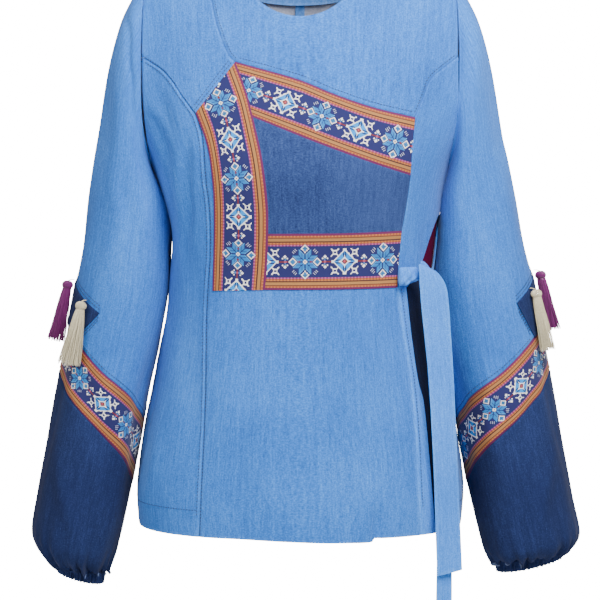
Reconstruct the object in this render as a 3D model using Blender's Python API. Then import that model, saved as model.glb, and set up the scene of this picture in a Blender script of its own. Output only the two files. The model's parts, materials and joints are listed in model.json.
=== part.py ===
# Wrap jacket in light and dark denim, filled out as worn, with woven ribbon
# trim, blouson sleeves, a side tie and four sleeve tassels.
#
# The frame: Z is up and 0 at the high point of the shoulders, X runs to the
# wearer's left, and the front faces -Y. Tables and sizes are in millimetres.

import math

import bmesh
import bpy
from mathutils import Vector

MM = 0.001

# Driving dimensions
DENIM = 1.4
RIBBON = 1.0
FACING = 1.0
SEAM = 0.3
LAID = 0.3
UNDER = 2.8
NECK_UNDER = 2.5
DIAMOND_LIFT = 1.8
NECK_HALF = 73.0
NECK_DROP_FRONT = 84.0
NECK_DROP_BACK = 22.0
SHOULDER_TIP = 165.0
SHOULDER_SLOPE = 0.44
HEM = -628.0
ROUNDNESS = 2.4
SHOULDER_ROLL_FRONT = 200.0
SHOULDER_ROLL_BACK = 150.0

# Body sections: height, half width, depth in front of and behind the shoulder line.
# Columns: z, half, front, back
BODY = [
    (60, 206, 48, 50),
    (0, 203, 55, 60),
    (-60, 198, 67, 76),
    (-110, 193, 84, 90),
    (-160, 187, 100, 98),
    (-205, 173, 111, 100),
    (-247, 157.2, 116, 99),
    (-290, 148.3, 111, 94),
    (-350, 143.4, 102, 87),
    (-390, 143, 103, 88),
    (-430, 148.5, 107, 92),
    (-480, 157.5, 112, 99),
    (-530, 168.5, 118, 107),
    (-590, 177, 124, 114),
    (-628, 175, 125, 116),
    (-660, 172, 125, 116),
]

# Armhole: its centre and half height, and how far out it runs by angle from the tip
ARMHOLE_MIDDLE = -143.78
ARMHOLE_HALF = 103.3
# Columns: angle, out
ARMHOLE = [
    (0, SHOULDER_TIP),
    (30, 166),
    (60, 167),
    (90, 167),
    (120, 165),
    (150, 159),
    (180, 157.2),
]
ARMHOLE_STEPS = 18
UNDERARM_SPREAD = 0.8

# Sleeve rings: the outer and the inner point of each, and half its front-to-back depth
# Columns: ring, outer_x, outer_z, inner_x, inner_z, depth
SLEEVE = [
    (0, 165, -40.5, 156, -247.1, 45),
    (1, 180, -66, 156.8, -253, 50),
    (2, 192.7, -93, 155.8, -258, 54),
    (3, 201.8, -131, 154.5, -265, 57),
    (4, 211.5, -193, 152, -277, 59.5),
    (5, 220, -238, 149.8, -297, 61),
    (6, 230, -299, 146, -330, 62),
    (7, 240, -357, 143.6, -379, 62),
    (8, 250, -412, 153, -432, 62),
    (9, 260, -469, 166, -489, 62.5),
    (10, 271.6, -525, 174.5, -546, 63),
    (11, 284.9, -595, 188, -615, 62),
    (12, 290.9, -634, 198, -655, 59),
    (13, 287, -653, 205, -672, 53),
    (14, 277, -668, 210, -681, 42),
    (15, 267, -676, 211.5, -684, 33),
    (16, 264, -684, 214, -697, 30),
]
ARMHOLE_BLEND = 4.0
LEFT_SLEEVE_FULLER = 10.0
CUFF_TOP = 15.0
CUFF_END = 16.0
CUFF_GATHERS = 18
GATHER_START = 12.0
GATHER_DEPTH = 2.4

# Ribbon round the sleeve: ring position of its two edges by angle from the outer line
# Columns: angle, upper, lower
CHEVRON = [
    (0, 7.95, 8.88),
    (45, 8.24, 9.24),
    (90, 8.66, 9.68),
    (135, 9.03, 10.14),
    (180, 9.50, 10.55),
]

# Dark corner piece on the outer side of the sleeve
DIAMOND_TOP = 7.1
DIAMOND_SIDE = 7.55
DIAMOND_WIDTH = 65.0
DIAMOND_FOOT = 45.0

# Lines on the body, as real points (x, z) at the front
SHOULDER_SEAM = [
    (-95, 0), (-94.6, -14), (-94.2, -38), (-93, -67), (-87.6, -92), (-76, -122), (-67, -132.7)
]
# The seam's knots lie closer together near the shoulder by this power of their number.
SEAM_SAMPLES = 64
SEAM_CROWDING = 1.5
PRINCESS_TOP = [(-140.4, -144.4), (-120.5, -170.6), (-108.5, -186.5)]
PRINCESS_SIDE = [
    (-101.5, -211), (-98.5, -254), (-95, -286), (-94.5, -330), (-97.7, -381),
    (-99, -433), (-100.1, -485), (-103, -560), (-105.7, -628),
]
RIBBON_UPPER = [(-67, -132.7), (-5.4, -149.6), (34, -165.4), (73.5, -179), (119.6, -190)]
RIGHT_PRINCESS = [(119.6, -190), (125.5, -178), (131.5, -163), (139, -148)]
WRAP_EDGE = [
    (101.5, -368), (108.7, -421), (115.6, -466), (120.5, -520), (122.9, -576), (126.8, -628),
]
FREE_EDGE = [
    (112, -368), (118.5, -424), (124.8, -466), (131.7, -496), (139.6, -583), (143.6, -628),
]
# Free edge of the left side panel. Columns: phi, z
STRAP_FREE = [
    (90, -291), (80, -293.5), (72.5, -304), (67.5, -318), (64.5, -332), (60.8, -344.5), (49.2, -368),
]
SIDE_ROWS = [-247.1, -268, -291, -320, -352, -390, -430, -475, -525, -575, -605, HEM]
# Front edge of the lower left side. Columns: z, phi
SIDE_EDGE = [(-293, 88), (-305, 86), (-330, 82), (-352, 80), (-400, 74), (-628, 72)]
SIDE_TOP = -299.0
UNDER_INNER = 34.0
UNDER_OUTER = 84.0
FACING_INNER = 46.0
FACING_TOP = -262.0
FACING_FOOT = -352.0

# Woven ribbon frame on the wrap front: the lines between its pieces
FRAME_ROWS = (3, 4, 2)
ACROSS_RIBBON = 3
ACROSS_FRAME = 9
FRAME_OUTER = [
    (-67, -132.7), (-108, -185.4), (-96.6, -216.8),
    (-91.6, -246.2), (-89.4, -286.4), (-91.2, -371),
]
INNER_TOP = [(-67, -132.7), (-56, -162), (-48.5, -189.5)]
INNER_MIDDLE = [(-48.5, -189.5), (-38.9, -232.4), (-33.4, -278), (-32.8, -309.9)]
INNER_FOOT = [(-32.8, -309.9), (-34, -340), (-36.4, -369)]
RIGHT_TOP = [(119.6, -190), (116.6, -221), (114.7, -250)]
RIGHT_MIDDLE = [(114.7, -250), (110.6, -280), (105.6, -308)]
RIGHT_FOOT = [(105.6, -308), (103, -338), (101.5, -368)]
INSET_UPPER = [(-48.5, -189.5), (14.3, -214.5), (73.7, -236.3), (114.7, -250)]
INSET_LOWER = [(-32.8, -309.9), (36, -309.5), (105.6, -308)]
FRAME_LOWER = [(-36.4, -369), (34, -368.6), (101.5, -368)]

# Neck facing inside the back, and how low it reaches
FACING_REACH = 39.0
FACING_DEPTH = 52.0
FACING_HANG = 2.0

# Knot and ties
KNOT_CENTRE = (112.9, -82.48, -357.0)
KNOT_TURN = 25.0
KNOT_HALF = (11.0, 5.0, 10.8)
KNOT_SLANT = 0.6
# Columns: left edge, right edge
TIE_FRONT = [
    ((113.5, -83.0, -351.0), (113.5, -83.0, -361.5)),
    ((123.5, -78.3, -351.6), (123.5, -78.3, -358.2)),
    ((125.6, -81.0, -344.5), (139.0, -79.0, -352.5)),
    ((124.8, -85.5, -342.8), (143.5, -83.1, -351.0)),
    ((124.4, -90.0, -347.0), (152.3, -86.9, -364.0)),
    ((126.5, -91.5, -383.0), (156.0, -87.0, -385.0)),
    ((131.0, -92.0, -425.0), (159.0, -86.0, -425.0)),
    ((135.6, -93.5, -467.0), (161.5, -86.5, -467.0)),
    ((137.8, -95.5, -512.0), (163.8, -87.0, -512.0)),
    ((140.4, -97.5, -566.0), (166.6, -88.0, -566.0)),
    ((142.6, -99.0, -620.0), (169.2, -89.0, -620.0)),
    ((144.8, -99.8, -671.0), (171.0, -90.0, -666.0)),
]
TIE_BACK = [
    ((113.2, -81.3, -351.5), (113.2, -81.3, -361.5)),
    ((123.6, -76.5, -350.2), (123.2, -76.7, -359.0)),
    ((127.5, -75.5, -340.5), (125.5, -76.1, -368.0)),
    ((136.5, -75.5, -348.5), (127.5, -76.8, -380.0)),
    ((148.0, -77.0, -378.0), (130.0, -78.0, -392.0)),
    ((151.5, -78.5, -420.0), (132.0, -80.5, -420.0)),
    ((153.5, -80.5, -470.0), (135.0, -85.0, -470.0)),
    ((155.5, -83.0, -530.0), (140.0, -90.0, -530.0)),
    ((157.5, -84.5, -600.0), (143.0, -92.5, -600.0)),
    ((159.5, -85.5, -650.0), (143.6, -93.0, -650.0)),
    ((160.0, -86.0, -705.0), (143.4, -93.0, -705.0)),
]

# Tassels, with the angle and the ring of the point on the sleeve that they hang from.
# Columns: sleeve, colour, angle, ring, length
TASSELS = [
    ("right", "plum", 0, 7.16, 66),
    ("right", "cream", 42, 7.38, 70),
    ("left", "cream", 18, 7.22, 68),
    ("left", "plum", -18, 6.98, 66),
]
# Rings of a tassel from its root on the sleeve to the middle of its underside.
# Columns: x, z, radius, tilt
TASSEL_RINGS = [
    (-6.6, 7.6, 0.9, 90),
    (-3.2, 7.6, 0.9, 70),
    (-0.8, 6.6, 1.1, 25),
    (0, 5.2, 2.4, 0),
    (0, 3.4, 4.5, 0),
    (0, 0.4, 5.4, 0),
    (0, -2.2, 5.2, 0),
    (0, -3.2, 6.4, 0),
    (0, -3.2, 4.2, 0),
    (0, -3.2, 2.0, 0),
]
TASSEL_SIDES = 14
TASSEL_ROOT = 6.4
TASSEL_SKIRT = 10.5
TASSEL_HANG = 7.0
STRAND_BANDS = (7, 8)
STRAND_ROOT = 0.72
STRAND_END = 0.66
STRAND_RAGGED = 0.06

COLOURS = {
    "light_denim": (0.19, 0.38, 0.72, 0.85),
    "dark_denim": (0.035, 0.085, 0.27, 0.85),
    "woven_ribbon": (0.11, 0.09, 0.22, 0.75),
    "wine_facing": (0.25, 0.015, 0.05, 0.8),
    "plum": (0.30, 0.03, 0.20, 0.5),
    "cream": (0.62, 0.52, 0.38, 0.5),
}


def clear_scene():
    for old in list(bpy.data.objects):
        bpy.data.objects.remove(old, do_unlink=True)


def finish_material(name):
    """One Principled material for each cloth."""
    material = bpy.data.materials.get(name)
    if material:
        return material
    red, green, blue, roughness = COLOURS[name]
    material = bpy.data.materials.new(name)
    material.use_nodes = True
    shader = material.node_tree.nodes["Principled BSDF"]
    shader.inputs["Base Color"].default_value = (red, green, blue, 1.0)
    shader.inputs["Roughness"].default_value = roughness
    shader.inputs["Metallic"].default_value = 0.0
    return material


def smooth_row(table, key):
    """Read a table at any key, with a smooth curve through its rows."""
    rows = sorted(table)
    if key <= rows[0][0]:
        return rows[0][1:]
    if key >= rows[-1][0]:
        return rows[-1][1:]
    index = max(i for i in range(len(rows) - 1) if rows[i][0] <= key)
    before, after = rows[index], rows[index + 1]
    first, last = rows[max(index - 1, 0)], rows[min(index + 2, len(rows) - 1)]
    span = after[0] - before[0]
    t = (key - before[0]) / span
    values = []
    for c in range(1, len(before)):
        slope_in = (after[c] - first[c]) / (after[0] - first[0]) * span
        slope_out = (last[c] - before[c]) / (last[0] - before[0]) * span
        value = (2 * t**3 - 3 * t**2 + 1) * before[c] + (t**3 - 2 * t**2 + t) * slope_in
        value += (3 * t**2 - 2 * t**3) * after[c] + (t**3 - t**2) * slope_out
        values.append(value)
    return tuple(values)


def along(points, count):
    """Points at even steps along a polyline, both ends kept."""
    lengths = [0.0]
    for a, b in zip(points, points[1:]):
        lengths.append(lengths[-1] + math.dist(a, b))
    result = []
    for k in range(count + 1):
        target = lengths[-1] * k / count
        i = max(j for j in range(len(points) - 1) if lengths[j] <= target + 1e-9)
        part = (target - lengths[i]) / max(lengths[i + 1] - lengths[i], 1e-9)
        a, b = points[i], points[i + 1]
        result.append(tuple(p + (q - p) * min(part, 1.0) for p, q in zip(a, b)))
    return result


def rounded(points, count):
    """Even points along a smooth curve through the given ones."""
    keyed = [(k, *point) for k, point in enumerate(points)]
    steps = 8 * (len(points) - 1)
    fine = [smooth_row(keyed, k * (len(points) - 1) / steps) for k in range(steps + 1)]
    return along(fine, count)


# Shape of the body

def shoulder_line(x):
    return -(abs(x) - NECK_HALF) * SHOULDER_SLOPE


def phi_at(x, z):
    """Angle round the body of a point at the front, 0 at its middle."""
    half = smooth_row(BODY, z)[0]
    part = min(abs(x) / half, 1.0)
    return math.copysign(math.degrees(math.asin(part ** (ROUNDNESS / 2))), x)


def body_point(phi, z):
    half, front, back = smooth_row(BODY, z)
    sine, cosine = math.sin(math.radians(phi)), math.cos(math.radians(phi))
    x = math.copysign(half * abs(sine) ** (2 / ROUNDNESS), sine)
    at_front = cosine >= 0
    roll = SHOULDER_ROLL_FRONT if at_front else SHOULDER_ROLL_BACK
    down = min(max((shoulder_line(x) - z) / roll, 0.0), 1.0)
    depth = (front if at_front else back) * abs(cosine) ** (2 / ROUNDNESS)
    depth *= math.sqrt(1 - (1 - down) ** 2)
    return Vector((x, -depth if at_front else depth, z))


def body_normal(phi, z):
    here = body_point(phi, z)
    if shoulder_line(here.x) - z < 0.6:
        return Vector((math.copysign(SHOULDER_SLOPE, here.x), 0, 1)).normalized()
    across = body_point(phi + 0.5, z) - body_point(phi - 0.5, z)
    down = body_point(phi, z - 0.5) - body_point(phi, z + 0.5)
    return down.cross(across).normalized()


def armhole_angle(step):
    return 180.0 * step / ARMHOLE_STEPS


def armhole_place(side, angle):
    """The armhole's place on the body, as angle round the body and height."""
    turned = angle % 360
    at_front = turned <= 180 and angle < 360
    folded = min(turned, 360 - turned)
    z = ARMHOLE_MIDDLE + ARMHOLE_HALF * math.cos(math.radians(folded))
    out = smooth_row(ARMHOLE, folded)[0]
    phi = 90.0 if folded > 179.9 else phi_at(out, z)
    return side * (phi if at_front else 180 - phi), z


def armhole_point(side, angle):
    point = body_point(*armhole_place(side, angle))
    if abs(angle % 360) < 0.01:
        point.y = 0.0
        point.z = shoulder_line(point.x)
    return point


# Shape of the sleeves

def sleeve_point(side, ring, angle):
    """A point of a sleeve: angle 0 is its outer line, 90 its front."""
    outer_x, outer_z, inner_x, inner_z, depth = smooth_row(SLEEVE, ring)
    if side > 0:
        outer_x += LEFT_SLEEVE_FULLER * min(max((ring - 4.5) / 2.5, 0), 1)
        if ring > 14:
            outer_x -= LEFT_SLEEVE_FULLER * (ring - 14) / 2 * 0.6
    cosine, sine = math.cos(math.radians(angle)), math.sin(math.radians(angle))
    middle_x, middle_z = (outer_x + inner_x) / 2, (outer_z + inner_z) / 2
    point = Vector((
        middle_x + (outer_x - middle_x) * cosine,
        -depth * sine,
        middle_z + (outer_z - middle_z) * cosine,
    ))
    blend = max(0.0, 1 - ring / ARMHOLE_BLEND) ** 2
    if blend:
        first = SLEEVE[0]
        seam = armhole_point(1, angle)
        seam.x += UNDERARM_SPREAD * ((1 - cosine) / 2) ** 2
        plain = Vector((
            (first[1] + first[3]) / 2 + (first[1] - first[3]) / 2 * cosine,
            -first[5] * sine,
            (first[2] + first[4]) / 2 + (first[2] - first[4]) / 2 * cosine,
        ))
        point += (seam - plain) * blend
    point.x *= side
    return point


def sleeve_normal(side, ring, angle):
    low = max(ring - 0.05, 0.0)
    along_sleeve = sleeve_point(side, ring + 0.05, angle) - sleeve_point(side, low, angle)
    around = sleeve_point(side, ring, angle + 1) - sleeve_point(side, ring, angle - 1)
    return (around.cross(along_sleeve) * side).normalized()


def armhole_normals(side, angle):
    """Normals of body and sleeve at the armhole, shared where the seam is a ridge."""
    phi, z = armhole_place(side, angle)
    body = body_normal(phi, z)
    turned = angle % 360
    sleeve = sleeve_normal(side, 0.0, turned)
    into_sleeve = sleeve_point(side, 0.3, turned) - sleeve_point(side, 0.0, turned)
    if body.dot(into_sleeve) < 0:
        shared = (body + sleeve).normalized()
        return shared, shared
    return body, sleeve


def place_key(phi, z):
    return round(phi, 2), round(z, 2)


ARMHOLE_NORMALS = {}


def note_armhole_normals():
    """Keep the normals of the body's wall where it meets the sleeves."""
    for side in (-1, 1):
        for step in range(2 * ARMHOLE_STEPS + 1):
            angle = armhole_angle(step)
            place = armhole_place(side, angle)
            ARMHOLE_NORMALS[place_key(*place)] = armhole_normals(side, angle)[0]


# Walls

def wall(name, rows, thickness, material, closed=False):
    """A closed wall from rows of (outer point, normal), its edges cut back half a seam."""
    mesh = bpy.data.meshes.new(name)
    bm = bmesh.new()
    normals = {}
    found = {}

    def vertex(point, normal):
        key = tuple(round(value, 2) for value in point)
        if key not in found:
            found[key] = bm.verts.new(point)
            normals[found[key]] = normal.copy()
        return found[key]

    grid = [[vertex(point, normal) for point, normal in row] for row in rows]
    columns = len(grid[0])
    for upper, lower in zip(grid, grid[1:]):
        for j in range(columns if closed else columns - 1):
            k = (j + 1) % columns
            corners = []
            for corner in (upper[j], upper[k], lower[k], lower[j]):
                if corner not in corners:
                    corners.append(corner)
            for last in range(2, len(corners)):
                bm.faces.new((corners[0], corners[last - 1], corners[last]))
    edges = [edge for edge in bm.edges if len(edge.link_faces) == 1]
    inward = {}
    for edge in edges:
        a, b = edge.verts
        face = edge.link_faces[0]
        direction = (b.co - a.co).cross(normals[a] + normals[b]).normalized()
        if direction.dot(face.calc_center_median() - (a.co + b.co) / 2) < 0:
            direction = -direction
        for corner in (a, b):
            inward.setdefault(corner, []).append(direction)
    shift = {}
    for corner, (first, second) in inward.items():
        shift[corner] = (first + second) / max(1 + first.dot(second), 0.2) * SEAM / 2
    for corner, move in shift.items():
        corner.co += move
    outer_faces = list(bm.faces)
    inner = {v: bm.verts.new(v.co - normals[v] * thickness) for v in list(normals)}
    for face in outer_faces:
        bm.faces.new([inner[v] for v in reversed(face.verts)])
    for edge in edges:
        a, b = edge.verts
        bm.faces.new((a, b, inner[b], inner[a]))
    bmesh.ops.recalc_face_normals(bm, faces=bm.faces)
    bmesh.ops.scale(bm, vec=(MM, MM, MM), verts=bm.verts)
    bm.to_mesh(mesh)
    bm.free()
    mesh.shade_smooth()
    mesh.set_sharp_from_angle(angle=math.radians(40))
    mesh.materials.append(finish_material(material))
    piece = bpy.data.objects.new(name, mesh)
    bpy.context.collection.objects.link(piece)
    return piece


def body_entry(phi, z, lift):
    normal = ARMHOLE_NORMALS.get(place_key(phi, z)) or body_normal(phi, z)
    point = body_point(phi, z)
    if shoulder_line(point.x) - z < 0.02:
        point.y = 0.0
    return point + normal * lift, normal


def patch(top, bottom, left, right):
    """A grid of places between four edges, each a list of (phi, z)."""
    rows = []
    for i in range(len(left)):
        v = i / (len(left) - 1)
        row = []
        for j in range(len(top)):
            u = j / (len(top) - 1)
            place = []
            for c in (0, 1):
                sides = (1 - u) * left[i][c] + u * right[i][c]
                ends = (1 - v) * top[j][c] + v * bottom[j][c]
                corners = (1 - u) * ((1 - v) * left[0][c] + v * left[-1][c])
                corners += u * ((1 - v) * right[0][c] + v * right[-1][c])
                place.append(sides + ends - corners)
            row.append(tuple(place))
        rows.append(row)
    return rows


def body_panel(name, top, bottom, left, right, material, thickness=DENIM, lift=0.0):
    rows = patch(top, bottom, left, right)
    entries = [[body_entry(phi, z, lift) for phi, z in row] for row in rows]
    return wall(name, entries, thickness, material)


def placed(points):
    return [(phi_at(x, z), z) for x, z in points]


def armhole_run(side, first, last):
    """Armhole places from one step to another; steps past the underarm are at the back."""
    step = 1 if last > first else -1
    return [armhole_place(side, armhole_angle(k)) for k in range(first, last + step, step)]


def shoulder_run(start, end, count, back=False):
    """Places along the shoulder seam, or at the back of the same seam."""
    places = []
    for k in range(count + 1):
        x = start + (end - start) * k / count
        phi = phi_at(x, shoulder_line(x))
        places.append((math.copysign(180, x) - phi if back else phi, shoulder_line(x)))
    return places


def neck_run(drop, count, back=False, half=NECK_HALF, start_z=0.0):
    """The neck edge from the right shoulder to the left one, or half of it at the back."""
    places = []
    for k in range(count + 1):
        turn = math.pi * k / count
        x = -half * math.cos(turn)
        z = start_z - drop * math.sin(turn)
        phi = phi_at(x, z)
        places.append((180 - phi if back else phi, z))
    return places


# Lines shared by neighbouring pieces, in the order front to back

PRINCESS_START = 8
YOKE_RINGS = 5
LEFT_UNDERARM = 18


def princess_places():
    start = armhole_place(-1, armhole_angle(PRINCESS_START))
    upper = [start] + placed(rounded(PRINCESS_TOP, 4))
    lower = placed(rounded([PRINCESS_TOP[-1]] + PRINCESS_SIDE, 16))
    return upper, lower


def side_seam(side, first=0):
    return [(side * 90.0, z) for z in SIDE_ROWS[first:]]


def yoke_and_shoulder():
    seam_top = (SHOULDER_SEAM[0][0], shoulder_line(SHOULDER_SEAM[0][0]))
    fine = rounded([seam_top] + SHOULDER_SEAM[1:], SEAM_SAMPLES)
    shares = [(k / PRINCESS_START) ** SEAM_CROWDING for k in range(PRINCESS_START + 1)]
    seam = placed([fine[round(SEAM_SAMPLES * share)] for share in shares])
    upper, _ = princess_places()
    diagonal = placed(along([PRINCESS_TOP[-1], SHOULDER_SEAM[-1]], 3))
    body_panel(
        "shoulder_front_right",
        top=shoulder_run(-SHOULDER_TIP, seam_top[0], 8),
        bottom=upper + diagonal[1:],
        left=armhole_run(-1, 0, PRINCESS_START),
        right=seam,
        material="light_denim",
    )
    outline = seam + placed(rounded(RIBBON_UPPER, ACROSS_FRAME))[1:] + right_princess()[1:]
    outline += armhole_run(1, PRINCESS_START, 0)[1:]
    neck = neck_run(NECK_DROP_FRONT, len(outline) - 1)
    rows = [list(ray) for ray in zip(*(front_ray(a, b) for a, b in zip(neck, outline)))]
    entries = [[body_entry(phi, z, 0.0) for phi, z in row] for row in rows]
    wall("yoke_front", entries, DENIM, "light_denim")


def front_ray(start, end):
    """Places in a straight line of the front view, from the neck edge outwards."""
    first = body_point(*start).x
    last = body_point(*end).x
    places = []
    for k in range(YOKE_RINGS + 1):
        part = k / YOKE_RINGS
        z = start[1] + (end[1] - start[1]) * part
        places.append((phi_at(first + (last - first) * part, z), z))
    places[0] = start
    places[-1] = end
    return places


def right_princess():
    line = placed(rounded(RIGHT_PRINCESS, 5))
    return line + [armhole_place(1, armhole_angle(PRINCESS_START))]


def side_front_right():
    upper, lower = princess_places()
    left = armhole_run(-1, PRINCESS_START, ARMHOLE_STEPS) + side_seam(-1)[1:]
    right = upper + lower[1:]
    rows = len(left)
    foot = along([left[-1], right[-1]], 5)
    body_panel(
        "side_front_right",
        top=[left[0]] * 6,
        bottom=foot,
        left=left,
        right=right[:rows],
        material="light_denim",
    )


def stacked(blocks):
    """One grid from blocks that share edges: a list of rows of blocks."""
    rows = []
    for band in blocks:
        joined = band[0]
        for block in band[1:]:
            joined = [left + right[1:] for left, right in zip(joined, block)]
        rows += joined if not rows else joined[1:]
    return rows


def wrap_grid():
    """Places of the wrap front: its columns and rows follow the ribbon frame."""
    _, princess = princess_places()
    outer = placed(rounded(FRAME_OUTER[1:], sum(FRAME_ROWS)))
    tops = [0, FRAME_ROWS[0], FRAME_ROWS[0] + FRAME_ROWS[1], sum(FRAME_ROWS)]
    inner_parts = (INNER_TOP, INNER_MIDDLE, INNER_FOOT)
    right_parts = (RIGHT_TOP, RIGHT_MIDDLE, RIGHT_FOOT)
    lines = (RIBBON_UPPER, INSET_UPPER, INSET_LOWER, FRAME_LOWER)
    across = [placed(rounded(line, ACROSS_FRAME)) for line in lines]
    cut = placed(along([FRAME_OUTER[1], FRAME_OUTER[0]], ACROSS_RIBBON))
    blocks = []
    left_rows = cut
    for number, count in enumerate(FRAME_ROWS):
        first, last = tops[number], tops[number + 1]
        inner = placed(rounded(inner_parts[number], count))
        right = placed(rounded(right_parts[number], count))
        foot = along([outer[last], inner[-1]], ACROSS_RIBBON)
        blocks.append([
            patch(
                [princess[first], outer[first]],
                [princess[last], outer[last]],
                princess[first:last + 1],
                outer[first:last + 1],
            ),
            patch(left_rows, foot, outer[first:last + 1], inner),
            patch(across[number], across[number + 1], inner, right),
        ])
        left_rows = foot
    lower = len(princess) - 1 - tops[-1]
    edge = placed(rounded(WRAP_EDGE, lower))
    hem = along([princess[-1], edge[-1]], 1 + ACROSS_RIBBON + ACROSS_FRAME)
    top = [princess[tops[-1]]] + left_rows + across[-1][1:]
    blocks.append([patch(top, hem, princess[tops[-1]:], edge)])
    return stacked(blocks), edge


def front_wrap():
    """The wrap front, and on it the dark inset and the woven ribbon frame."""
    grid, edge = wrap_grid()
    entries = [[body_entry(phi, z, 0.0) for phi, z in row] for row in grid]
    wall("front_wrap", entries, DENIM, "light_denim")
    free = placed(rounded(FREE_EDGE, len(edge) - 1))
    body_panel(
        "front_edge_band",
        top=along([edge[0], free[0]], 2),
        bottom=along([edge[-1], free[-1]], 2),
        left=edge,
        right=free,
        material="light_denim",
    )
    top, middle, foot = FRAME_ROWS
    inner = 1 + ACROSS_RIBBON
    last = inner + ACROSS_FRAME
    laid = (
        ("ribbon_vertical", 0, top + middle + foot, 1, inner, "woven_ribbon"),
        ("ribbon_top", 0, top, inner, last, "woven_ribbon"),
        ("inset_front", top, top + middle, inner, last, "dark_denim"),
        ("ribbon_bottom", top + middle, top + middle + foot, inner, last, "woven_ribbon"),
    )
    for name, first_row, last_row, first, final, material in laid:
        entries = []
        for row in grid[first_row:last_row + 1]:
            places = row[first:final + 1]
            entries.append([body_entry(phi, z, LAID + RIBBON) for phi, z in places])
        wall(name, entries, RIBBON, material)


def side_tie_panel():
    """The left side front, whose lower part narrows to the knot as a strap."""
    armhole = armhole_run(1, PRINCESS_START, LEFT_UNDERARM)
    seam = side_seam(1)[1:3]
    free = rounded(STRAP_FREE, 2 * sum(FRAME_ROWS) - len(armhole) - len(seam) + 1)[1:]
    right = armhole + seam + free
    left = []
    for line, count in zip((RIGHT_TOP, RIGHT_MIDDLE, RIGHT_FOOT), FRAME_ROWS):
        run = halved(placed(rounded(line, count)))
        left += run[1:] if left else run
    body_panel(
        "side_tie_panel_left",
        top=right_princess(),
        bottom=along([left[-1], right[-1]], 6),
        left=left,
        right=right,
        material="light_denim",
    )


def halved(points):
    """The same line with a point added in the middle of each stretch."""
    result = [points[0]]
    for a, b in zip(points, points[1:]):
        result.append(tuple((p + q) / 2 for p, q in zip(a, b)))
        result.append(b)
    return result


def side_edge_phi(z):
    return smooth_row(SIDE_EDGE, z)[0]


def left_side_pieces():
    rows = SIDE_ROWS[2:]
    front_edge = [(side_edge_phi(z), z) for z in [SIDE_TOP - 4] + rows[1:]]
    seam = [(90.0, SIDE_TOP)] + [(90.0, z) for z in rows[1:]]
    body_panel(
        "side_front_left",
        top=along([front_edge[0], seam[0]], 2),
        bottom=along([front_edge[-1], seam[-1]], 2),
        left=front_edge,
        right=seam,
        material="light_denim",
    )
    layers = (
        ("facing_left", FACING_TOP, FACING_FOOT, FACING_INNER, "wine_facing", 4),
        ("under_front_left", FACING_FOOT, HEM + 2, UNDER_INNER, "dark_denim", 9),
    )
    for name, top, foot, inner, material, count in layers:
        heights = [top + (foot - top) * k / count for k in range(count + 1)]
        left = [(inner, z) for z in heights]
        right = [(min(side_edge_phi(z) + 2.0, UNDER_OUTER), z) for z in heights]
        body_panel(
            name,
            top=along([left[0], right[0]], 5),
            bottom=along([left[-1], right[-1]], 5),
            left=left,
            right=right,
            material=material,
            thickness=FACING,
            lift=-UNDER,
        )


def back_neck(side, count):
    """The back neck edge from its middle to one shoulder."""
    places = []
    for k in range(count + 1):
        turn = math.pi / 2 * (1 - k / count)
        x, z = NECK_HALF * math.cos(turn), -NECK_DROP_BACK * math.sin(turn)
        places.append((side * (180 - phi_at(x, z)), z))
    return places


def back_panels():
    for side, name in ((1, "back_left"), (-1, "back_right")):
        shoulder = shoulder_run(side * NECK_HALF, side * SHOULDER_TIP, 4, back=True)
        top = back_neck(side, 4) + shoulder[1:]
        outer = armhole_run(side, 2 * ARMHOLE_STEPS, ARMHOLE_STEPS) + side_seam(side)[1:]
        span = outer[0][1] - outer[-1][1]
        centre = []
        for _, z in outer:
            part = (outer[0][1] - z) / span
            centre.append((side * 180.0, top[0][1] + (HEM - top[0][1]) * part))
        body_panel(
            name,
            top=top,
            bottom=along([centre[-1], outer[-1]], len(top) - 1),
            left=centre,
            right=outer,
            material="light_denim",
        )


def neck_facing():
    """The band inside the back neck; it hangs free of the back below its edge."""
    edge = neck_run(NECK_DROP_BACK, 8, back=True)
    reach = NECK_HALF + FACING_REACH
    start = shoulder_line(reach) - 3.0
    foot = neck_run(FACING_DEPTH, 8, back=True, half=reach, start_z=start)
    rows = patch(edge, foot, along([edge[0], foot[0]], 3), along([edge[-1], foot[-1]], 3))
    entries = []
    for number, row in enumerate(rows):
        lift = -NECK_UNDER if number == 0 else -NECK_UNDER - FACING_HANG
        entries.append([body_entry(phi, z, lift) for phi, z in row])
    wall("neck_facing_back", entries, FACING, "light_denim")


# Sleeves

def sleeve_angles():
    count = 2 * ARMHOLE_STEPS
    return [360.0 * k / count for k in range(count)]


def folded_angle(angle):
    return abs((angle + 180) % 360 - 180)


def gathered(ring, angle):
    """How far the gathers at the cuff lift the cloth."""
    if ring <= GATHER_START:
        return 0.0
    grown = min((ring - GATHER_START) / (CUFF_TOP - GATHER_START), 1.0)
    return GATHER_DEPTH * grown * math.cos(math.radians(angle * CUFF_GATHERS))


def sleeve_entry(side, ring, angle, lift=0.0):
    normal = sleeve_normal(side, ring, angle)
    if ring == 0.0:
        normal = armhole_normals(side, angle)[1]
    point = sleeve_point(side, ring, angle)
    return point + normal * (lift + gathered(ring, angle)), normal


def sleeve_tube(name, side, edges, material):
    rows = []
    for edge in edges:
        rows.append([sleeve_entry(side, edge(angle), angle) for angle in sleeve_angles()])
    return wall(name, rows, DENIM, material, closed=True)


def between(first, last, count, start=0):
    """Edge functions that run evenly from one edge line to another."""
    edges = []
    for k in range(start, count + 1):
        part = k / count
        edges.append(lambda angle, part=part: first(angle) * (1 - part) + last(angle) * part)
    return edges


def level(ring):
    return lambda angle: ring


def chevron(column):
    return lambda angle: smooth_row(CHEVRON, folded_angle(angle))[column]


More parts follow.
